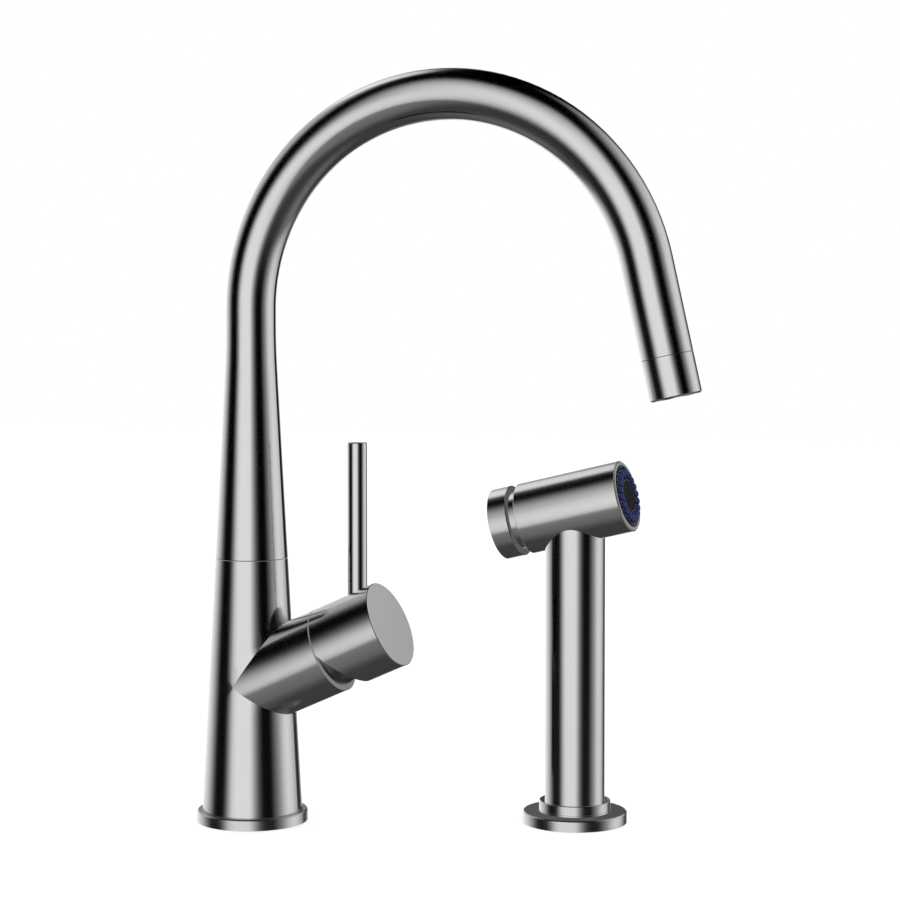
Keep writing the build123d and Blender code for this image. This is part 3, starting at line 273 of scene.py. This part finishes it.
def scale_node(tree, colour, amount):
    """A colour times a number."""
    node = tree.nodes.new("ShaderNodeVectorMath")
    node.operation = "SCALE"
    feed(tree, node.inputs[0], colour)
    feed(tree, node.inputs["Scale"], amount)
    return node.outputs[0]


def noise_node(tree, vector, scale, detail=2.0, rough=0.5):
    """A Noise Texture's value."""
    node = tree.nodes.new("ShaderNodeTexNoise")
    names = ("Vector", "Scale", "Detail", "Roughness")
    for name, given in zip(names, (vector, scale, detail, rough)):
        feed(tree, node.inputs[name], given)
    return node.outputs["Fac"]


# Brushed metal: fine lines and soft clouds, both drawn out along the third coordinate. On flat ends a
# factor scales the colour as painted light: painted shade below 1, a painted highlight above 1.
grain, asks, answers = start_group(
    "brushed_grain_and_painted_end_light",
    {
        "Run": ("NodeSocketVector", None),
        "Tone": ("NodeSocketColor", (0.7, 0.7, 0.7, 1)),
        "Polish": ("NodeSocketFloat", 0.15),
        "End Polish": ("NodeSocketFloat", 0.35),
        "End": ("NodeSocketFloat", 0.0),
        "Lines": ("NodeSocketFloat", 0.06),
        "Clouds": ("NodeSocketFloat", 0.05),
        "Patchy": ("NodeSocketFloat", 0.02),
        "End Shade": ("NodeSocketFloat", 1.0),
    },
    {"Color": "NodeSocketColor", "Roughness": "NodeSocketFloat", "Height": "NodeSocketFloat"},
)
fine = noise_node(grain, vector_node(grain, "MULTIPLY", asks["Run"], (1.0, 1.0, 0.02)), 2600.0, 2.0, 0.6)
broad = noise_node(grain, vector_node(grain, "MULTIPLY", asks["Run"], (1.0, 1.0, 0.04)), 700.0, 1.0)
cloud = noise_node(grain, vector_node(grain, "MULTIPLY", asks["Run"], (1.0, 1.0, 0.3)), 170.0, 2.0)
lined = math_node(grain, "MULTIPLY", fine, 0.6)
lined = math_node(grain, "ADD", lined, math_node(grain, "MULTIPLY", broad, 0.4))
lined_shade = math_node(grain, "MULTIPLY", math_node(grain, "SUBTRACT", lined, 0.5), asks["Lines"])
cloud_shade = math_node(grain, "MULTIPLY", math_node(grain, "SUBTRACT", cloud, 0.5), asks["Clouds"])
shade = math_node(grain, "ADD", math_node(grain, "ADD", lined_shade, cloud_shade), 1.0)
end_shade = math_node(grain, "SUBTRACT", asks["End Shade"], 1.0)
end_shade = math_node(grain, "MULTIPLY_ADD", end_shade, asks["End"], 1.0)
shade = math_node(grain, "MULTIPLY", shade, end_shade)
grain.links.new(scale_node(grain, asks["Tone"], shade), answers["Color"])
patchy = math_node(grain, "MULTIPLY", math_node(grain, "SUBTRACT", cloud, 0.5), asks["Patchy"])
sides = math_node(grain, "ADD", asks["Polish"], patchy)
ends = math_node(grain, "SUBTRACT", asks["End Polish"], asks["Polish"])
ends = math_node(grain, "MULTIPLY", ends, asks["End"])
grain.links.new(math_node(grain, "ADD", sides, ends), answers["Roughness"])
grain.links.new(lined, answers["Height"])

# Where a surface faces along an axis, as a turned piece's flat ends do.
facing, asks, answers = start_group(
    "faces_along",
    {"Normal": ("NodeSocketVector", None), "Axis": ("NodeSocketVector", (0, 0, 1))},
    {"End": "NodeSocketFloat"},
)
along = math_node(facing, "ABSOLUTE", vector_node(facing, "DOT_PRODUCT", asks["Normal"], asks["Axis"]))
facing.links.new(range_node(facing, along, 0.93, 0.98), answers["End"])

# Coordinates for a grain that runs round an upright axis: radius, height, and length round.
ROUND_R = 0.025  # radius at which that length is true, near the two flanges'
PLACE_IN, RUN_OUT = {"Place": ("NodeSocketVector", None)}, {"Run": "NodeSocketVector"}
round_run, asks, answers = start_group("round_run", PLACE_IN, RUN_OUT)
split = round_run.nodes.new("ShaderNodeSeparateXYZ")
round_run.links.new(asks["Place"], split.inputs[0])
flat = vector_node(round_run, "MULTIPLY", asks["Place"], (1.0, 1.0, 0.0))
radius = math_node(round_run, "SQRT", vector_node(round_run, "DOT_PRODUCT", flat, flat))
back = math_node(round_run, "MULTIPLY", split.outputs["Y"], -1.0)
sweep_angle = math_node(round_run, "ARCTAN2", split.outputs["X"], back)
join = round_run.nodes.new("ShaderNodeCombineXYZ")
round_run.links.new(radius, join.inputs[0])
round_run.links.new(split.outputs["Z"], join.inputs[1])
round_run.links.new(math_node(round_run, "MULTIPLY", sweep_angle, ROUND_R), join.inputs[2])
round_run.links.new(join.outputs[0], answers["Run"])


def emboss(tree, shader, height, depth):
    """Raise a shader's surface by height, up to depth in metres."""
    bump = tree.nodes.new("ShaderNodeBump")
    bump.inputs["Distance"].default_value = depth
    tree.links.new(height, bump.inputs["Height"])
    tree.links.new(bump.outputs[0], shader.inputs["Normal"])


def start_metal(name, axis, centre=(0.0, 0.0, 0.0), tilt=None, way=None):
    """A metal with its grain along an axis, or along the run that the group way works out."""
    material = bpy.data.materials.new(name)
    material.use_nodes = True
    tree = material.node_tree
    shader = tree.nodes["Principled BSDF"]
    shader.inputs["Metallic"].default_value = 1.0
    place = tree.nodes.new("ShaderNodeTexCoord")
    mapping = tree.nodes.new("ShaderNodeMapping")
    mapping.inputs["Location"].default_value = tuple(-c for c in centre)
    if tilt is not None:
        mapping.inputs["Rotation"].default_value = (0, tilt - math.pi / 2, 0)
    tree.links.new(place.outputs["Object"], mapping.inputs["Vector"])
    run = mapping.outputs[0] if way is None else place_group(tree, way, Place=mapping.outputs[0])["Run"]
    end = place_group(tree, facing, Normal=place.outputs["Normal"], Axis=axis)["End"]
    return material, tree, shader, run, end


def finish_metal(
    tree, shader, run, end, tone, polish, end_polish,
    lines=0.06, clouds=0.05, patchy=0.02, depth=1.2e-6, end_shade=1.0,
):
    """Link the brushed grain to the shader; depth is the height of the brushing in metres."""
    brushed = place_group(
        tree, grain, Run=run, Tone=tone + (1,), Polish=polish, End_Polish=end_polish, End=end,
        Lines=lines, Clouds=clouds, Patchy=patchy, End_Shade=end_shade,
    )
    tree.links.new(brushed["Color"], shader.inputs["Base Color"])
    tree.links.new(brushed["Roughness"], shader.inputs["Roughness"])
    emboss(tree, shader, brushed["Height"], depth)


def metal(name, tone, axis, polish, end_polish, centre=(0.0, 0.0, 0.0), tilt=None, way=None, **amounts):
    """A brushed metal; polish is the roughness of its sides, end_polish that of its flat ends."""
    material, tree, shader, run, end = start_metal(name, axis, centre, tilt, way)
    finish_metal(tree, shader, run, end, tone, polish, end_polish, **amounts)
    return material


def black_from_afar(material, reach=0.065):
    """Let a metal look black in mirror images further off than reach, so the hand spray shows none."""
    tree = material.node_tree
    shader = tree.nodes["Principled BSDF"]
    ray = tree.nodes.new("ShaderNodeLightPath")
    far = math_node(tree, "GREATER_THAN", ray.outputs["Ray Length"], reach)
    far = math_node(tree, "MULTIPLY", far, ray.outputs["Is Glossy Ray"])
    near = math_node(tree, "SUBTRACT", 1.0, far)
    colour = shader.inputs["Base Color"].links[0].from_socket
    tree.links.new(scale_node(tree, colour, near), shader.inputs["Base Color"])


def dress(material, *names, mirrored=False):
    """Give a CAD node's object its material. Only the mixer's own outside is seen in mirror images."""
    for name in names:
        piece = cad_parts[name]
        piece.visible_glossy = mirrored
        for slot in piece.material_slots:
            slot.material = material


SATIN = (0.70, 0.695, 0.685)
UP, ACROSS = (0.0, 0.0, 1.0), (0.0, 1.0, 0.0)
# its flat top is toned darker as painted shade
turned_flange = metal(
    "turned_flange_steel", SATIN, UP, 0.2, 0.42, way=round_run,
    lines=0.1, clouds=0.3, patchy=0.08, depth=4e-6, end_shade=0.75,
)
black_from_afar(turned_flange)
dress(turned_flange, "escutcheon", mirrored=True)


# Moulded or cast pieces: a faint mottle in the colour, and a fine matt skin.
skin, asks, answers = start_group(
    "moulded_skin",
    {
        "Place": ("NodeSocketVector", None),
        "Tone": ("NodeSocketColor", (0.5, 0.5, 0.5, 1)),
        "Polish": ("NodeSocketFloat", 0.5),
        "Mottle": ("NodeSocketFloat", 0.1),
        "Size": ("NodeSocketFloat", 1500.0),
    },
    {"Color": "NodeSocketColor", "Roughness": "NodeSocketFloat", "Height": "NodeSocketFloat"},
)
pores = noise_node(skin, asks["Place"], asks["Size"], 3.0, 0.6)
haze = noise_node(skin, asks["Place"], math_node(skin, "MULTIPLY", asks["Size"], 0.1), 2.0)
swing = math_node(skin, "MULTIPLY", math_node(skin, "SUBTRACT", haze, 0.5), asks["Mottle"])
mottled = scale_node(skin, asks["Tone"], math_node(skin, "ADD", swing, 1.0))
skin.links.new(mottled, answers["Color"])
skin.links.new(math_node(skin, "ADD", asks["Polish"], swing), answers["Roughness"])
skin.links.new(pores, answers["Height"])


def moulded(name, tone, polish, mottle=0.12, size=1500.0, depth=2e-5, metallic=0.0, shine=0.5):
    """A plastic, rubber, ceramic or cast metal; depth is the height of its skin in metres."""
    material = bpy.data.materials.new(name)
    material.use_nodes = True
    tree = material.node_tree
    shader = tree.nodes["Principled BSDF"]
    shader.inputs["Metallic"].default_value = metallic
    shader.inputs["Specular IOR Level"].default_value = shine
    place = tree.nodes.new("ShaderNodeTexCoord")
    made = place_group(
        tree, skin, Place=place.outputs["Object"], Tone=tone + (1,), Polish=polish, Mottle=mottle, Size=size
    )
    tree.links.new(made["Color"], shader.inputs["Base Color"])
    tree.links.new(made["Roughness"], shader.inputs["Roughness"])
    emboss(tree, shader, made["Height"], depth)
    return material


black_rubber = moulded("black_rubber", (0.022, 0.022, 0.022), 0.62, 0.25, 900.0, 4e-5)
dress(black_rubber, "deck_gasket")


# ------------------------------------------------------------------ mixer body
# A long steel cone with a tilted barrel welded through it for the cartridge, both brushed
# lengthwise. A brass insert is pressed in below and takes the stud and the three hose ends.
FOOT_R, JOINT_R = 0.0241, 0.0175
FLANGE_T, JOINT_Z = 0.0053, 0.1277
BARREL_TILT = math.radians(24.37)
BARREL_AXIS = (math.cos(BARREL_TILT), 0.0, math.sin(BARREL_TILT))
material, tree, shader, run, end = start_metal("brushed_body_steel", BARREL_AXIS)
place = tree.nodes["Texture Coordinate"].outputs["Object"]
split = tree.nodes.new("ShaderNodeSeparateXYZ")
tree.links.new(place, split.inputs[0])
# the barrel is whatever stands clear of the cone
flat = vector_node(tree, "MULTIPLY", place, (1.0, 1.0, 0.0))
radius = math_node(tree, "SQRT", vector_node(tree, "DOT_PRODUCT", flat, flat))
slope = (JOINT_R - FOOT_R) / (JOINT_Z - FLANGE_T)
cone = math_node(tree, "MULTIPLY_ADD", split.outputs["Z"], slope, FOOT_R - slope * FLANGE_T)
off_cone = range_node(tree, math_node(tree, "SUBTRACT", radius, cone), 0.0001, 0.0004)
tilted = tree.nodes.new("ShaderNodeMapping")
tilted.inputs["Rotation"].default_value = (0, BARREL_TILT - math.pi / 2, 0)
tree.links.new(place, tilted.inputs["Vector"])
choose = tree.nodes.new("ShaderNodeMix")
choose.data_type = "VECTOR"
tree.links.new(off_cone, choose.inputs["Factor"])
tree.links.new(run, choose.inputs[4])
tree.links.new(tilted.outputs[0], choose.inputs[5])
lip = math_node(tree, "MULTIPLY", end, off_cone)
# the barrel's end lip, by the cap, is toned darker as painted shade
finish_metal(tree, shader, choose.outputs[1], lip, SATIN, 0.15, 0.3, end_shade=0.6)
black_from_afar(material)
dress(material, "mixer_body", mirrored=True)
cast_brass = moulded("machined_brass", (0.80, 0.58, 0.30), 0.28, 0.12, 700.0, 6e-6, metallic=1.0)
DRAWN = (0.72, 0.72, 0.72)
bright_tube = metal("drawn_steel", DRAWN, UP, 0.18, 0.25)
dress(cast_brass, "base_insert", "valve_core")
dress(bright_tube, "hot_pipe", "cold_pipe", "spray_pipe")


# ------------------------------------------------------------------ swivel and diverter
# Inside the spout's foot: a brass spigot with two rubber seals, a wire circlip, and plastic rings
# to slide on. The diverter's plastic piston and its spring sit in the riser below.
cream_plastic = moulded("cream_plastic", (0.82, 0.81, 0.76), 0.38, 0.06, 1200.0, 8e-6)
black_plastic = moulded("black_plastic", (0.018, 0.018, 0.020), 0.5, 0.2, 1500.0, 1.2e-5)
spring_wire = metal("spring_wire", (0.66, 0.66, 0.67), UP, 0.22, 0.22, way=round_run)
dress(cast_brass, "swivel_spigot")
dress(black_rubber, "swivel_seals")
dress(black_plastic, "slide_ring")
dress(cream_plastic, "spout_bush", "diverter_cage", "diverter_piston")
dress(spring_wire, "spout_circlip", "diverter_spring")


CREASE, TURN_STEPS, WIRE_SIDES = math.radians(50), 40, 12


def new_piece(name, points, faces, material, body, slot, node):
    """A smooth-shaded mesh that stands for a CAD node and rides on its body."""
    mesh = bpy.data.meshes.new(name)
    mesh.from_pydata(points, [], faces)
    mesh.shade_smooth()
    mesh.set_sharp_from_angle(angle=CREASE)
    mesh.materials.append(material)
    piece = bpy.data.objects.new(name, mesh)
    bpy.context.scene.collection.objects.link(piece)
    piece.visible_glossy = False
    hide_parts(node)
    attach(piece, body)
    return piece


def coil(centre, axis, start, length, radius, wire, turns):
    """Points and outward faces of a spring's wire, wound about an axis from a distance along it."""
    centre, axis, across = np.array(centre), np.array(axis), np.array(ACROSS)
    steps, around = round(turns * TURN_STEPS), WIRE_SIDES
    share = np.linspace(0.0, 1.0, steps + 1)[:, None]
    angle = 2 * np.pi * turns * share
    side = np.cross(axis, across)
    out = np.cos(angle) * across + np.sin(angle) * side
    line = centre + (start + length * share) * axis + radius * out
    ahead = 2 * np.pi * turns * radius * (np.cos(angle) * side - np.sin(angle) * across) + length * axis
    ahead /= np.linalg.norm(ahead, axis=1, keepdims=True)
    turn = np.linspace(0.0, 2 * np.pi, around, endpoint=False)[None, :, None]
    wall = np.cos(turn) * out[:, None] + np.sin(turn) * np.cross(ahead, out)[:, None]
    points = line[:, None] + wire * wall
    faces = [tuple(reversed(range(around))), tuple(steps * around + j for j in range(around))]
    for i, j in np.ndindex(steps, around):
        k = (j + 1) % around
        faces.append((i * around + j, i * around + k, (i + 1) * around + k, (i + 1) * around + j))
    return points.reshape(-1, 3).tolist(), faces


# the spring's coil, wound at rest up to the cage's top; in use it shortens as the piston lifts 3 mm
SPRING_FOOT, SPRING_HEAD, SPRING_WIRE, LIFT = 0.10725, 0.1188, 0.0003, 0.003
SPRING_R, SPRING_TURNS = 0.0034, 5.0
SPRING_L = SPRING_HEAD - SPRING_FOOT
wound = coil(
    (0.0, 0.0, 0.0), UP, SPRING_FOOT + SPRING_WIRE, SPRING_L - 2 * SPRING_WIRE,
    SPRING_R, SPRING_WIRE, SPRING_TURNS,
)
lift_spring = new_piece("diverter_coil", *wound, spring_wire, "diverter", "bright_steel", "diverter_spring")
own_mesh(lift_spring)


# ------------------------------------------------------------------ spout
# One steel tube that swells into a cone at its foot, bent to a tall arc and brushed along its run.
# A short sleeve with the aerator is screwed into its end, on a thin black washer.
BEND_R, ARC_Z, BEND = 0.100, 0.2474, math.radians(167.2)
TIP_RUN = (math.sin(BEND), 0.0, math.cos(BEND))
TIP_OUT = (-math.cos(BEND), 0.0, math.sin(BEND))
BEND_END = (BEND_R - BEND_R * math.cos(BEND), 0.0, ARC_Z + BEND_R * math.sin(BEND))
spout_run, asks, answers = start_group("spout_run", PLACE_IN, RUN_OUT)
split = spout_run.nodes.new("ShaderNodeSeparateXYZ")
spout_run.links.new(asks["Place"], split.inputs[0])
# round the bend: distance from its middle, and the length of arc
inward = math_node(spout_run, "SUBTRACT", BEND_R, split.outputs["X"])
above = math_node(spout_run, "SUBTRACT", split.outputs["Z"], ARC_Z)
square = math_node(spout_run, "MULTIPLY", inward, inward)
reach = math_node(spout_run, "SQRT", math_node(spout_run, "MULTIPLY_ADD", above, above, square))
arc = math_node(spout_run, "MULTIPLY", math_node(spout_run, "ARCTAN2", above, inward), BEND_R)
# along the straight outlet: distance past the bend's end, and distance out from its middle
past = vector_node(spout_run, "SUBTRACT", asks["Place"], BEND_END)
tip_length = math_node(spout_run, "ADD", vector_node(spout_run, "DOT_PRODUCT", past, TIP_RUN), BEND_R * BEND)
tip_reach = math_node(spout_run, "ADD", vector_node(spout_run, "DOT_PRODUCT", past, TIP_OUT), BEND_R)
near_side = math_node(spout_run, "GREATER_THAN", inward, 0.0)
on_foot = math_node(spout_run, "MULTIPLY", near_side, math_node(spout_run, "LESS_THAN", above, 0.0))
on_outlet = math_node(spout_run, "GREATER_THAN", tip_length, BEND_R * BEND)
on_outlet = math_node(spout_run, "MULTIPLY", on_outlet, math_node(spout_run, "SUBTRACT", 1.0, near_side))
length = range_node(spout_run, on_foot, 0.0, 1.0, arc, above)
length = range_node(spout_run, on_outlet, 0.0, 1.0, length, tip_length)
across = range_node(spout_run, on_foot, 0.0, 1.0, reach, inward)
across = range_node(spout_run, on_outlet, 0.0, 1.0, across, tip_reach)
join = spout_run.nodes.new("ShaderNodeCombineXYZ")
spout_run.links.new(across, join.inputs[0])
spout_run.links.new(split.outputs["Y"], join.inputs[1])
spout_run.links.new(length, join.inputs[2])
spout_run.links.new(join.outputs[0], answers["Run"])
spout_steel = metal("brushed_spout_steel", SATIN, TIP_RUN, 0.15, 0.3, way=spout_run)
dress(spout_steel, "spout", "aerator_sleeve")
dress(bright_tube, "spout_screw")
dress(black_rubber, "sleeve_washer", "aerator_seal")
grey_plastic = moulded("grey_plastic", (0.38, 0.38, 0.39), 0.42, 0.1, 1300.0, 1e-5)
dress(grey_plastic, "aerator_insert")


# ------------------------------------------------------------------ cartridge
# A plastic housing that holds two ceramic discs, pressed down by a slotted brass nut under a dark
# domed cover. A steel pin carries the brass stem that slides the upper disc.
ceramic = moulded("polished_ceramic", (0.86, 0.84, 0.78), 0.12, 0.05, 1800.0, 2e-6)
dark_dome = metal("dark_dome_steel", (0.32, 0.32, 0.33), BARREL_AXIS, 0.25, 0.25, tilt=BARREL_TILT)
dress(black_rubber, "port_seals")
dress(cream_plastic, "cartridge_base", "disc_carrier", "cartridge_housing", "rotor")
dress(ceramic, "fixed_disc", "moving_disc")
dress(bright_tube, "pivot_pin")
dress(cast_brass, "stem", "cartridge_nut")
dress(dark_dome, "cartridge_dome")


# ------------------------------------------------------------------ handle
# A steel cap that turns and lifts on the cartridge, with a slim rod screwed into it as the lever.
# The cap's flat end is plain; a grey plug underneath hides the grub screw.
# the cap's flat end is toned lighter as a painted highlight
cap_steel = metal("brushed_cap_steel", SATIN, BARREL_AXIS, 0.15, 0.26, tilt=BARREL_TILT, end_shade=1.2)
lever_steel = metal("brushed_lever_steel", SATIN, UP, 0.15, 0.3)
black_from_afar(lever_steel)
dress(cap_steel, "handle_cap")
dress(lever_steel, "lever", mirrored=True)
dress(bright_tube, "handle_screw")
dress(grey_plastic, "handle_plug")


# ------------------------------------------------------------------ spray holder
# A turned steel flange on its own rubber gasket, with a thin steel collar screwed on top. A black
# plastic ring inside the collar lets the hand spray turn and slide.
SPRAY_X, SPRAY_Y = 0.1472, 0.0521
SPRAY_FOOT = (SPRAY_X, SPRAY_Y, 0.0)
COLLAR_BORE_R = 0.0167
# the flange's flat top is toned much darker as painted shade
holder_steel = metal(
    "turned_holder_steel", SATIN, UP, 0.2, 0.45, centre=SPRAY_FOOT, way=round_run,
    lines=0.1, clouds=0.3, patchy=0.08, depth=4e-6, end_shade=0.45,
)
dress(holder_steel, "holder_flange")


SOFT = 0.0001  # width of a mask's edge


def within(material, axis, centre, radius):
    """A mask: 1 nearer to an axis than radius, 0 further out."""
    tree = material.node_tree
    place = tree.nodes["Texture Coordinate"].outputs["Object"]
    away = vector_node(tree, "CROSS_PRODUCT", vector_node(tree, "SUBTRACT", place, centre), axis)
    distance = math_node(tree, "SQRT", vector_node(tree, "DOT_PRODUCT", away, away))
    return range_node(tree, distance, radius - SOFT, radius + SOFT, 1.0, 0.0)


def beyond(material, axis, centre, start, span=SOFT):
    """A mask: 0 up to a distance along an axis, rising to 1 over span, which may run backwards."""
    tree = material.node_tree
    place = tree.nodes["Texture Coordinate"].outputs["Object"]
    along = vector_node(tree, "DOT_PRODUCT", vector_node(tree, "SUBTRACT", place, centre), axis)
    return range_node(tree, along, start, start + span)


def paint_shade_and_light(material, mask, shade, polish=0.0):
    """Paint shade where the mask is 1 by scaling the colour by shade, a highlight if above 1, and make it at
    least as rough as polish.
    """
    tree = material.node_tree
    shader = tree.nodes["Principled BSDF"]
    colour = shader.inputs["Base Color"].links[0].from_socket
    scaled = scale_node(tree, colour, math_node(tree, "MULTIPLY_ADD", mask, shade - 1.0, 1.0))
    rougher = math_node(tree, "MULTIPLY", mask, polish)
    rougher = math_node(tree, "MAXIMUM", rougher, shader.inputs["Roughness"].links[0].from_socket)
    tree.links.new(scaled, shader.inputs["Base Color"])
    tree.links.new(rougher, shader.inputs["Roughness"])


collar_steel = metal(
    "turned_collar_steel", SATIN, UP, 0.17, 0.3, centre=SPRAY_FOOT, way=round_run,
    lines=0.1, clouds=0.2, patchy=0.05, depth=2e-6,
)
# the collar's bore is toned dark as painted shade, and left dull
paint_shade_and_light(collar_steel, within(collar_steel, UP, SPRAY_FOOT, COLLAR_BORE_R), 0.15, 0.4)
dress(collar_steel, "holder_collar")
dress(black_rubber, "holder_gasket")
dress(black_plastic, "glide_ring")


# ------------------------------------------------------------------ hand spray
# A straight steel handle and a tilted steel head, blasted a little softer than the mixer. Inside
# are the brass hose socket, the check valve, the water tube and the seals.
HEAD_TILT = math.radians(13.82)
HEAD_AXIS = (math.cos(HEAD_TILT), 0.0, math.sin(HEAD_TILT))
HEAD_AT = (SPRAY_X, SPRAY_Y, 0.1519)
# distances along the head from HEAD_AT, and a radius that clears its neck
HEAD_RIM, HEAD_REAR, BUTTON_FACE, NECK_CLEAR_R = 0.02635, -0.02505, -0.02955, 0.0150
tube_steel = metal("brushed_handset_steel", SATIN, UP, 0.15, 0.3, centre=SPRAY_FOOT)
head_steel, button_steel = (
    metal(name, SATIN, HEAD_AXIS, 0.17, 0.3, centre=SPRAY_FOOT, tilt=HEAD_TILT)
    for name in ("satin_head_steel", "satin_button_steel")
)
# the head's rim is blasted softer and toned a little lighter as a painted highlight; the two faces
# beside its neck are toned dark as painted shade
paint_shade_and_light(head_steel, beyond(head_steel, HEAD_AXIS, HEAD_AT, HEAD_RIM), 1.1, 0.4)
tree = head_steel.node_tree
behind = beyond(head_steel, HEAD_AXIS, HEAD_AT, HEAD_REAR, -SOFT)
beside = math_node(tree, "SUBTRACT", 1.0, within(head_steel, HEAD_AXIS, HEAD_AT, NECK_CLEAR_R))
paint_shade_and_light(head_steel, math_node(tree, "MULTIPLY", behind, beside), 0.45, 0.3)
# the button's front face, in the groove, is toned dark as painted shade
paint_shade_and_light(button_steel, beyond(button_steel, HEAD_AXIS, HEAD_AT, BUTTON_FACE), 0.4, 0.3)
dress(tube_steel, "handset_tube")
dress(head_steel, "spray_head")
dress(button_steel, "push_button")
dress(cast_brass, "hose_socket")
dress(cream_plastic, "check_valve", "water_tube", "valve_seat")
dress(black_rubber, "tube_seal", "seat_seal", "poppet_seal")
dress(black_plastic, "rod_gland")
dress(bright_tube, "push_rod")
dress(spring_wire, "valve_spring")

# the spring's coil, wound at rest from the poppet to the plate's boss; in use the poppet shortens it as the
# button goes in 3.3 mm
POPPET_BACK, BOSS_BACK, VALVE_WIRE, PRESS = 0.01125, 0.0210, 0.0004, 0.0033
VALVE_SPRING_R, VALVE_TURNS = 0.0042, 4.5
VALVE_SPRING_L = BOSS_BACK - POPPET_BACK
wound = coil(
    HEAD_AT, HEAD_AXIS, POPPET_BACK + VALVE_WIRE, VALVE_SPRING_L - 2 * VALVE_WIRE,
    VALVE_SPRING_R, VALVE_WIRE, VALVE_TURNS,
)
press_spring = new_piece("valve_coil", *wound, spring_wire, "handset", "bright_steel", "valve_spring")
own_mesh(press_spring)


# ------------------------------------------------------------------ spray face
# Twenty soft blue silicone nozzles on a ring-shaped pad, moulded through a black plate with a plain
# black middle. Their tips are rounded round a small hole, and the blue is toned darker towards their roots
# as painted shade.
def turned(profile, count, centre, axis, solid=False):
    """Points and outward faces of a (radius, distance) profile turned about an axis, capped if solid."""
    axis, across, profile = np.array(axis), np.array(ACROSS), np.array(profile)
    angle = np.linspace(0.0, 2 * np.pi, count, endpoint=False)[:, None]
    out = np.cos(angle) * across + np.sin(angle) * np.cross(axis, across)
    points = np.array(centre) + profile[None, :, 1:] * axis + profile[None, :, :1] * out[:, None]
    n = len(profile)
    faces = []
    for i, j in np.ndindex(count, n - 1 if solid else n):
        k, m = (i + 1) % count, (j + 1) % n
        faces.append((i * n + j, k * n + j, k * n + m, i * n + m))
    if solid:
        faces.append(tuple(i * n for i in reversed(range(count))))
        faces.append(tuple(i * n + n - 1 for i in range(count)))
    return points.reshape(-1, 3), faces


NOZZLES, PITCH_R, RING_STEPS, NOZZLE_STEPS = 20, 0.0113, 72, 20
RING_BACK, PLATE_BACK, PLATE_FRONT, PAD_FRONT, TIP = 0.0210, 0.0230, 0.0255, 0.0269, 0.0288
ROOT_TOP, ROOT_SPAN, TRIM_BORE_R = 0.0282, -0.0014, 0.0151
ring = [(0.0086, RING_BACK), (0.0138, RING_BACK), (0.0138, PLATE_BACK), (0.0086, PLATE_BACK)]
pad = [
    (0.0092, PLATE_FRONT), (0.0134, PLATE_FRONT), (0.0134, PAD_FRONT - 0.0004),
    (0.01328, PAD_FRONT - 0.00012), (0.0130, PAD_FRONT), (0.0096, PAD_FRONT),
    (0.00932, PAD_FRONT - 0.00012), (0.0092, PAD_FRONT - 0.0004),
]
nozzle = [
    (0.00140, PLATE_BACK), (0.00140, PLATE_FRONT), (0.00166, PAD_FRONT - 0.0002),
    (0.00166, PAD_FRONT + 0.0003), (0.00161, TIP - 0.0008), (0.00154, TIP - 0.00048),
    (0.00138, TIP - 0.00020), (0.00115, TIP - 0.00005), (0.00088, TIP), (0.00062, TIP - 0.00010),
    (0.00048, TIP - 0.00035), (0.00045, TIP - 0.0016),
]
solids = [turned(shape, RING_STEPS, HEAD_AT, HEAD_AXIS) for shape in (ring, pad)]
for step in range(NOZZLES):
    angle = 2 * math.pi * step / NOZZLES
    off = math.cos(angle) * np.array(ACROSS) + math.sin(angle) * np.cross(HEAD_AXIS, ACROSS)
    middle = np.array(HEAD_AT) + PITCH_R * off
    solids.append(turned(nozzle, NOZZLE_STEPS, middle, HEAD_AXIS, solid=True))
points, faces = [], []
for corners, sides in solids:
    faces += [tuple(len(points) + c for c in face) for face in sides]
    points += corners.tolist()
nozzle_blue = moulded("blue_silicone", (0.024, 0.04, 0.19), 0.3, 0.3, 1600.0, 1.5e-5, shine=0.3)
# the nozzles' roots are toned darker as painted shade
paint_shade_and_light(nozzle_blue, beyond(nozzle_blue, HEAD_AXIS, HEAD_AT, ROOT_TOP, ROOT_SPAN), 0.12)
new_piece("spray_nozzles", points, faces, nozzle_blue, "handset", "blue_silicone", "nozzle_ring")
dress(nozzle_blue, "nozzle_ring")
deep_black = moulded("dull_black_plastic", (0.010, 0.010, 0.013), 0.6, 0.2, 1500.0, 1.2e-5, shine=0.12)
smoke_plastic = moulded("smoke_plastic", (0.06, 0.06, 0.07), 0.45, 0.1, 1300.0, 1e-5, shine=0.2)
dress(deep_black, "spray_plate", "centre_insert")
dress(smoke_plastic, "centre_ring")
trim_steel = metal("polished_trim_steel", DRAWN, HEAD_AXIS, 0.25, 0.4, centre=HEAD_AT, tilt=HEAD_TILT)
# the trim ring's bore is toned almost black as painted shade
paint_shade_and_light(trim_steel, within(trim_steel, HEAD_AXIS, HEAD_AT, TRIM_BORE_R), 0.03)
dress(trim_steel, "trim_ring")
